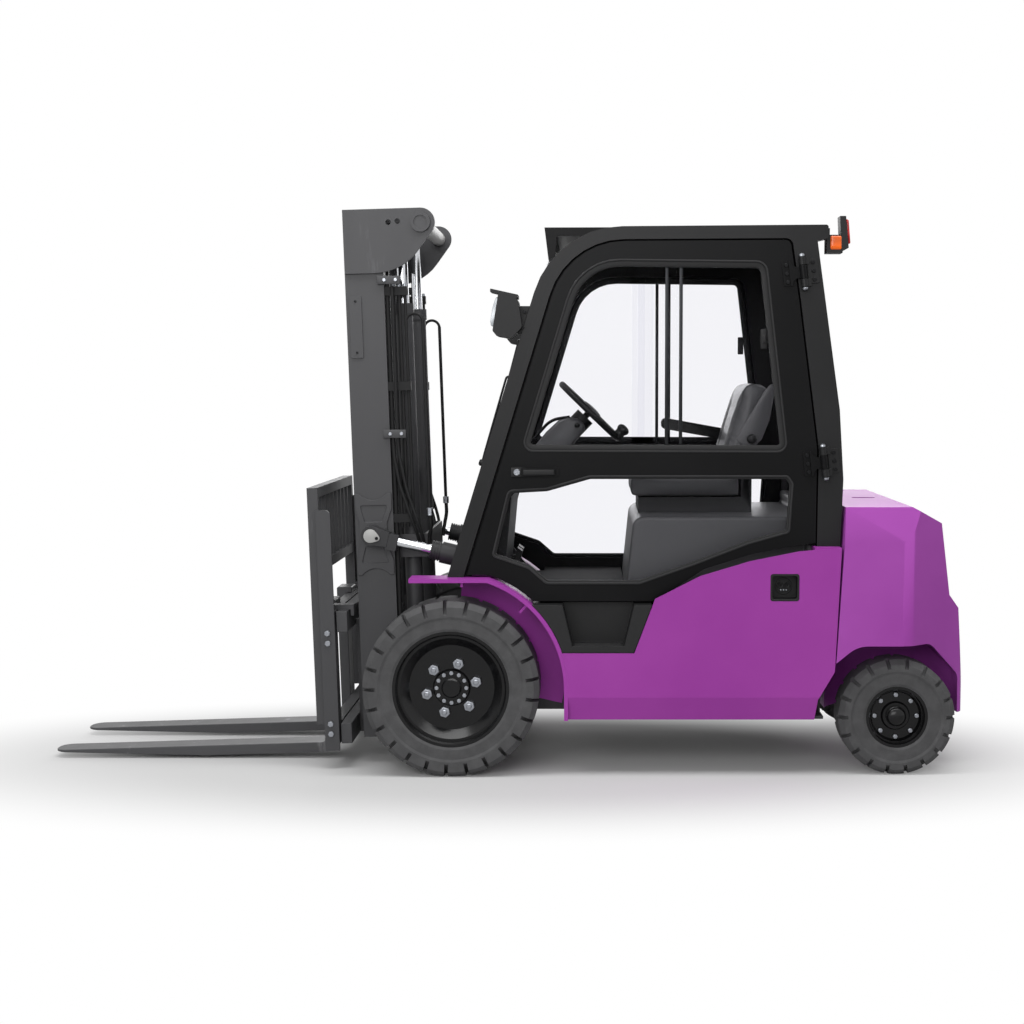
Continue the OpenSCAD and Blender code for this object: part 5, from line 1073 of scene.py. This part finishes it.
def make_socket_pins():
    """Contacts of the charging socket: two large sleeves over a row of pilot pins."""
    for name, profile, steps, xs, up, slot, finish in (
            ("socket_sleeves", SLEEVE, 24, SLEEVE_XS, SLEEVE_UP, "black_plastic", BLACK_PLASTIC),
            ("socket_pins", PILOT, 12, PILOT_XS, PILOT_UP, "bare_steel", ZINC)):
        contact = turned("contact", profile, steps)
        places = [standing(at(SOCKET[0] + x, SOCKET_FLOOR, SOCKET[1] + up), LEFT) for x in xs]
        set_out(name, contact, places, "chassis", finish)


# Studio

CAMERA_AT = Vector((FRONT_AXLE.x - 0.578, 6.915, 1.560))
CAMERA_DIP = 4.448
CAMERA_LENS, CAMERA_SENSOR = 56.04, 36
CAMERA_SHIFT = -0.081
CAMERA_REACH = 200
WORLD_FILL = 0.44
# each soft box: its place, where it looks, its width and depth in metres, and its power in watts
SOFT_BOXES = {
    "top_box": ((-0.3, 1.4, 4.8), (-0.2, 0.0, 0.9), 6.0, 1.4, 165),
    "side_box": ((1.2, 6.5, 3.2), (-0.3, 0.5, 1.0), 5.0, 3.0, 175),
    "back_box": ((-0.5, -6.0, 3.0), (-0.3, 0.0, 1.0), 5.0, 3.0, 110),
}


def set_camera():
    view = bpy.data.cameras.new("camera")
    view.lens = CAMERA_LENS
    view.sensor_width = CAMERA_SENSOR
    view.shift_x = CAMERA_SHIFT
    view.clip_end = CAMERA_REACH
    camera = bpy.data.objects.new("camera", view)
    camera.location = CAMERA_AT
    camera.rotation_euler = (math.radians(90 - CAMERA_DIP), 0, math.pi)
    bpy.context.collection.objects.link(camera)
    bpy.context.scene.camera = camera


def set_soft_boxes():
    for name, (place, aim, width, depth, power) in SOFT_BOXES.items():
        lamp = bpy.data.lights.new(name, "AREA")
        lamp.shape = "RECTANGLE"
        lamp.size = width
        lamp.size_y = depth
        lamp.energy = power
        box = bpy.data.objects.new(name, lamp)
        box.location = place
        box.rotation_euler = (Vector(aim) - Vector(place)).to_track_quat("-Z", "Y").to_euler()
        bpy.context.collection.objects.link(box)


def set_world():
    """A dim even fill on the truck, which the camera, glass and metal see as white."""
    world = bpy.data.worlds.new("white_studio")
    bpy.context.scene.world = world
    world.use_nodes = True
    tree = world.node_tree
    tree.nodes.clear()
    path = add(tree, "LightPath").outputs
    seen = add(tree, "Math", {0: path["Is Camera Ray"], 1: path["Is Transmission Ray"]},
               operation="MAXIMUM")
    seen = add(tree, "Math", {0: seen.outputs["Value"], 1: path["Is Glossy Ray"]},
               operation="MAXIMUM")
    level = add(tree, "MapRange", {"Value": seen.outputs["Value"], "To Min": WORLD_FILL,
                                   "To Max": 1.0})
    sky = add(tree, "Background", {"Color": (1, 1, 1, 1), "Strength": level.outputs["Result"]})
    add(tree, "OutputWorld", {"Surface": sky.outputs["Background"]})


FLOOR_HALF = 40.0
FLOOR_GREY, FLOOR_LIFT = "#cbcbcb", 0.01
# the floor's painted shadow, a grey pool round the truck that also takes its real shadow: its middle, its
# shares of length and width, and where it turns white
FLOOR_SHADOW_MIDDLE = (0.0, -0.25, 0.0)
FLOOR_SHADOW_POOL = (0.45, 1.0, 1.0)
FLOOR_WHITE_FROM, FLOOR_WHITE_TO = 0.6, 1.35


def set_floor():
    """A pale matt floor that takes the truck's shadow, grey in a painted shadow pool round the truck, and
    turns to plain white further out.
    """
    bpy.ops.object.select_all(action="DESELECT")
    bpy.ops.mesh.primitive_plane_add(size=2 * FLOOR_HALF)
    floor = bpy.context.object
    floor.name = "floor"
    finish, tree, shader, place = new_finish("white_floor")
    shadow_pool = add(tree, "Mapping", {"Vector": place, "Location": FLOOR_SHADOW_MIDDLE, "Scale": FLOOR_SHADOW_POOL})
    reach = add(tree, "VectorMath", {0: shadow_pool.outputs["Vector"]}, operation="LENGTH")
    # painted shadow: the floor stays grey near the truck and fades to white further out
    fade = add(tree, "MapRange", {"Value": reach.outputs["Value"], "From Min": FLOOR_WHITE_FROM,
                                  "From Max": FLOOR_WHITE_TO}, interpolation_type="SMOOTHSTEP")
    feed(tree, shader, {"Base Color": linear(FLOOR_GREY), "Roughness": 0.9, "Specular IOR Level": 0.0})
    matt = shader.outputs["BSDF"]
    lift = add(tree, "Emission", {"Color": (1, 1, 1, 1), "Strength": FLOOR_LIFT})
    near = add(tree, "AddShader", {0: matt, 1: lift.outputs["Emission"]})
    white = add(tree, "Emission", {"Color": (1, 1, 1, 1), "Strength": 1.0})
    lit = add(tree, "MixShader", {"Fac": fade.outputs["Result"], 1: near.outputs["Shader"],
                                  2: white.outputs["Emission"]})
    camera_ray = add(tree, "LightPath").outputs["Is Camera Ray"]
    seen = add(tree, "MixShader", {"Fac": camera_ray, 1: matt, 2: lit.outputs["Shader"]})
    feed(tree, tree.nodes["Material Output"], {"Surface": seen.outputs["Shader"]})
    floor.data.materials.append(finish)


dress_nodes()
make_wheel_fasteners()
make_arch_liners()
make_seat()
make_door_trim()
make_door_seals()
make_hinge_fasteners()
make_lamps()
make_mast_fittings()
make_controls()
make_wiper()
make_hose_tails()
make_side_hoses()
make_socket_pins()
set_camera()
set_world()
set_soft_boxes()
set_floor()
bpy.context.scene.view_settings.view_transform = "Standard"
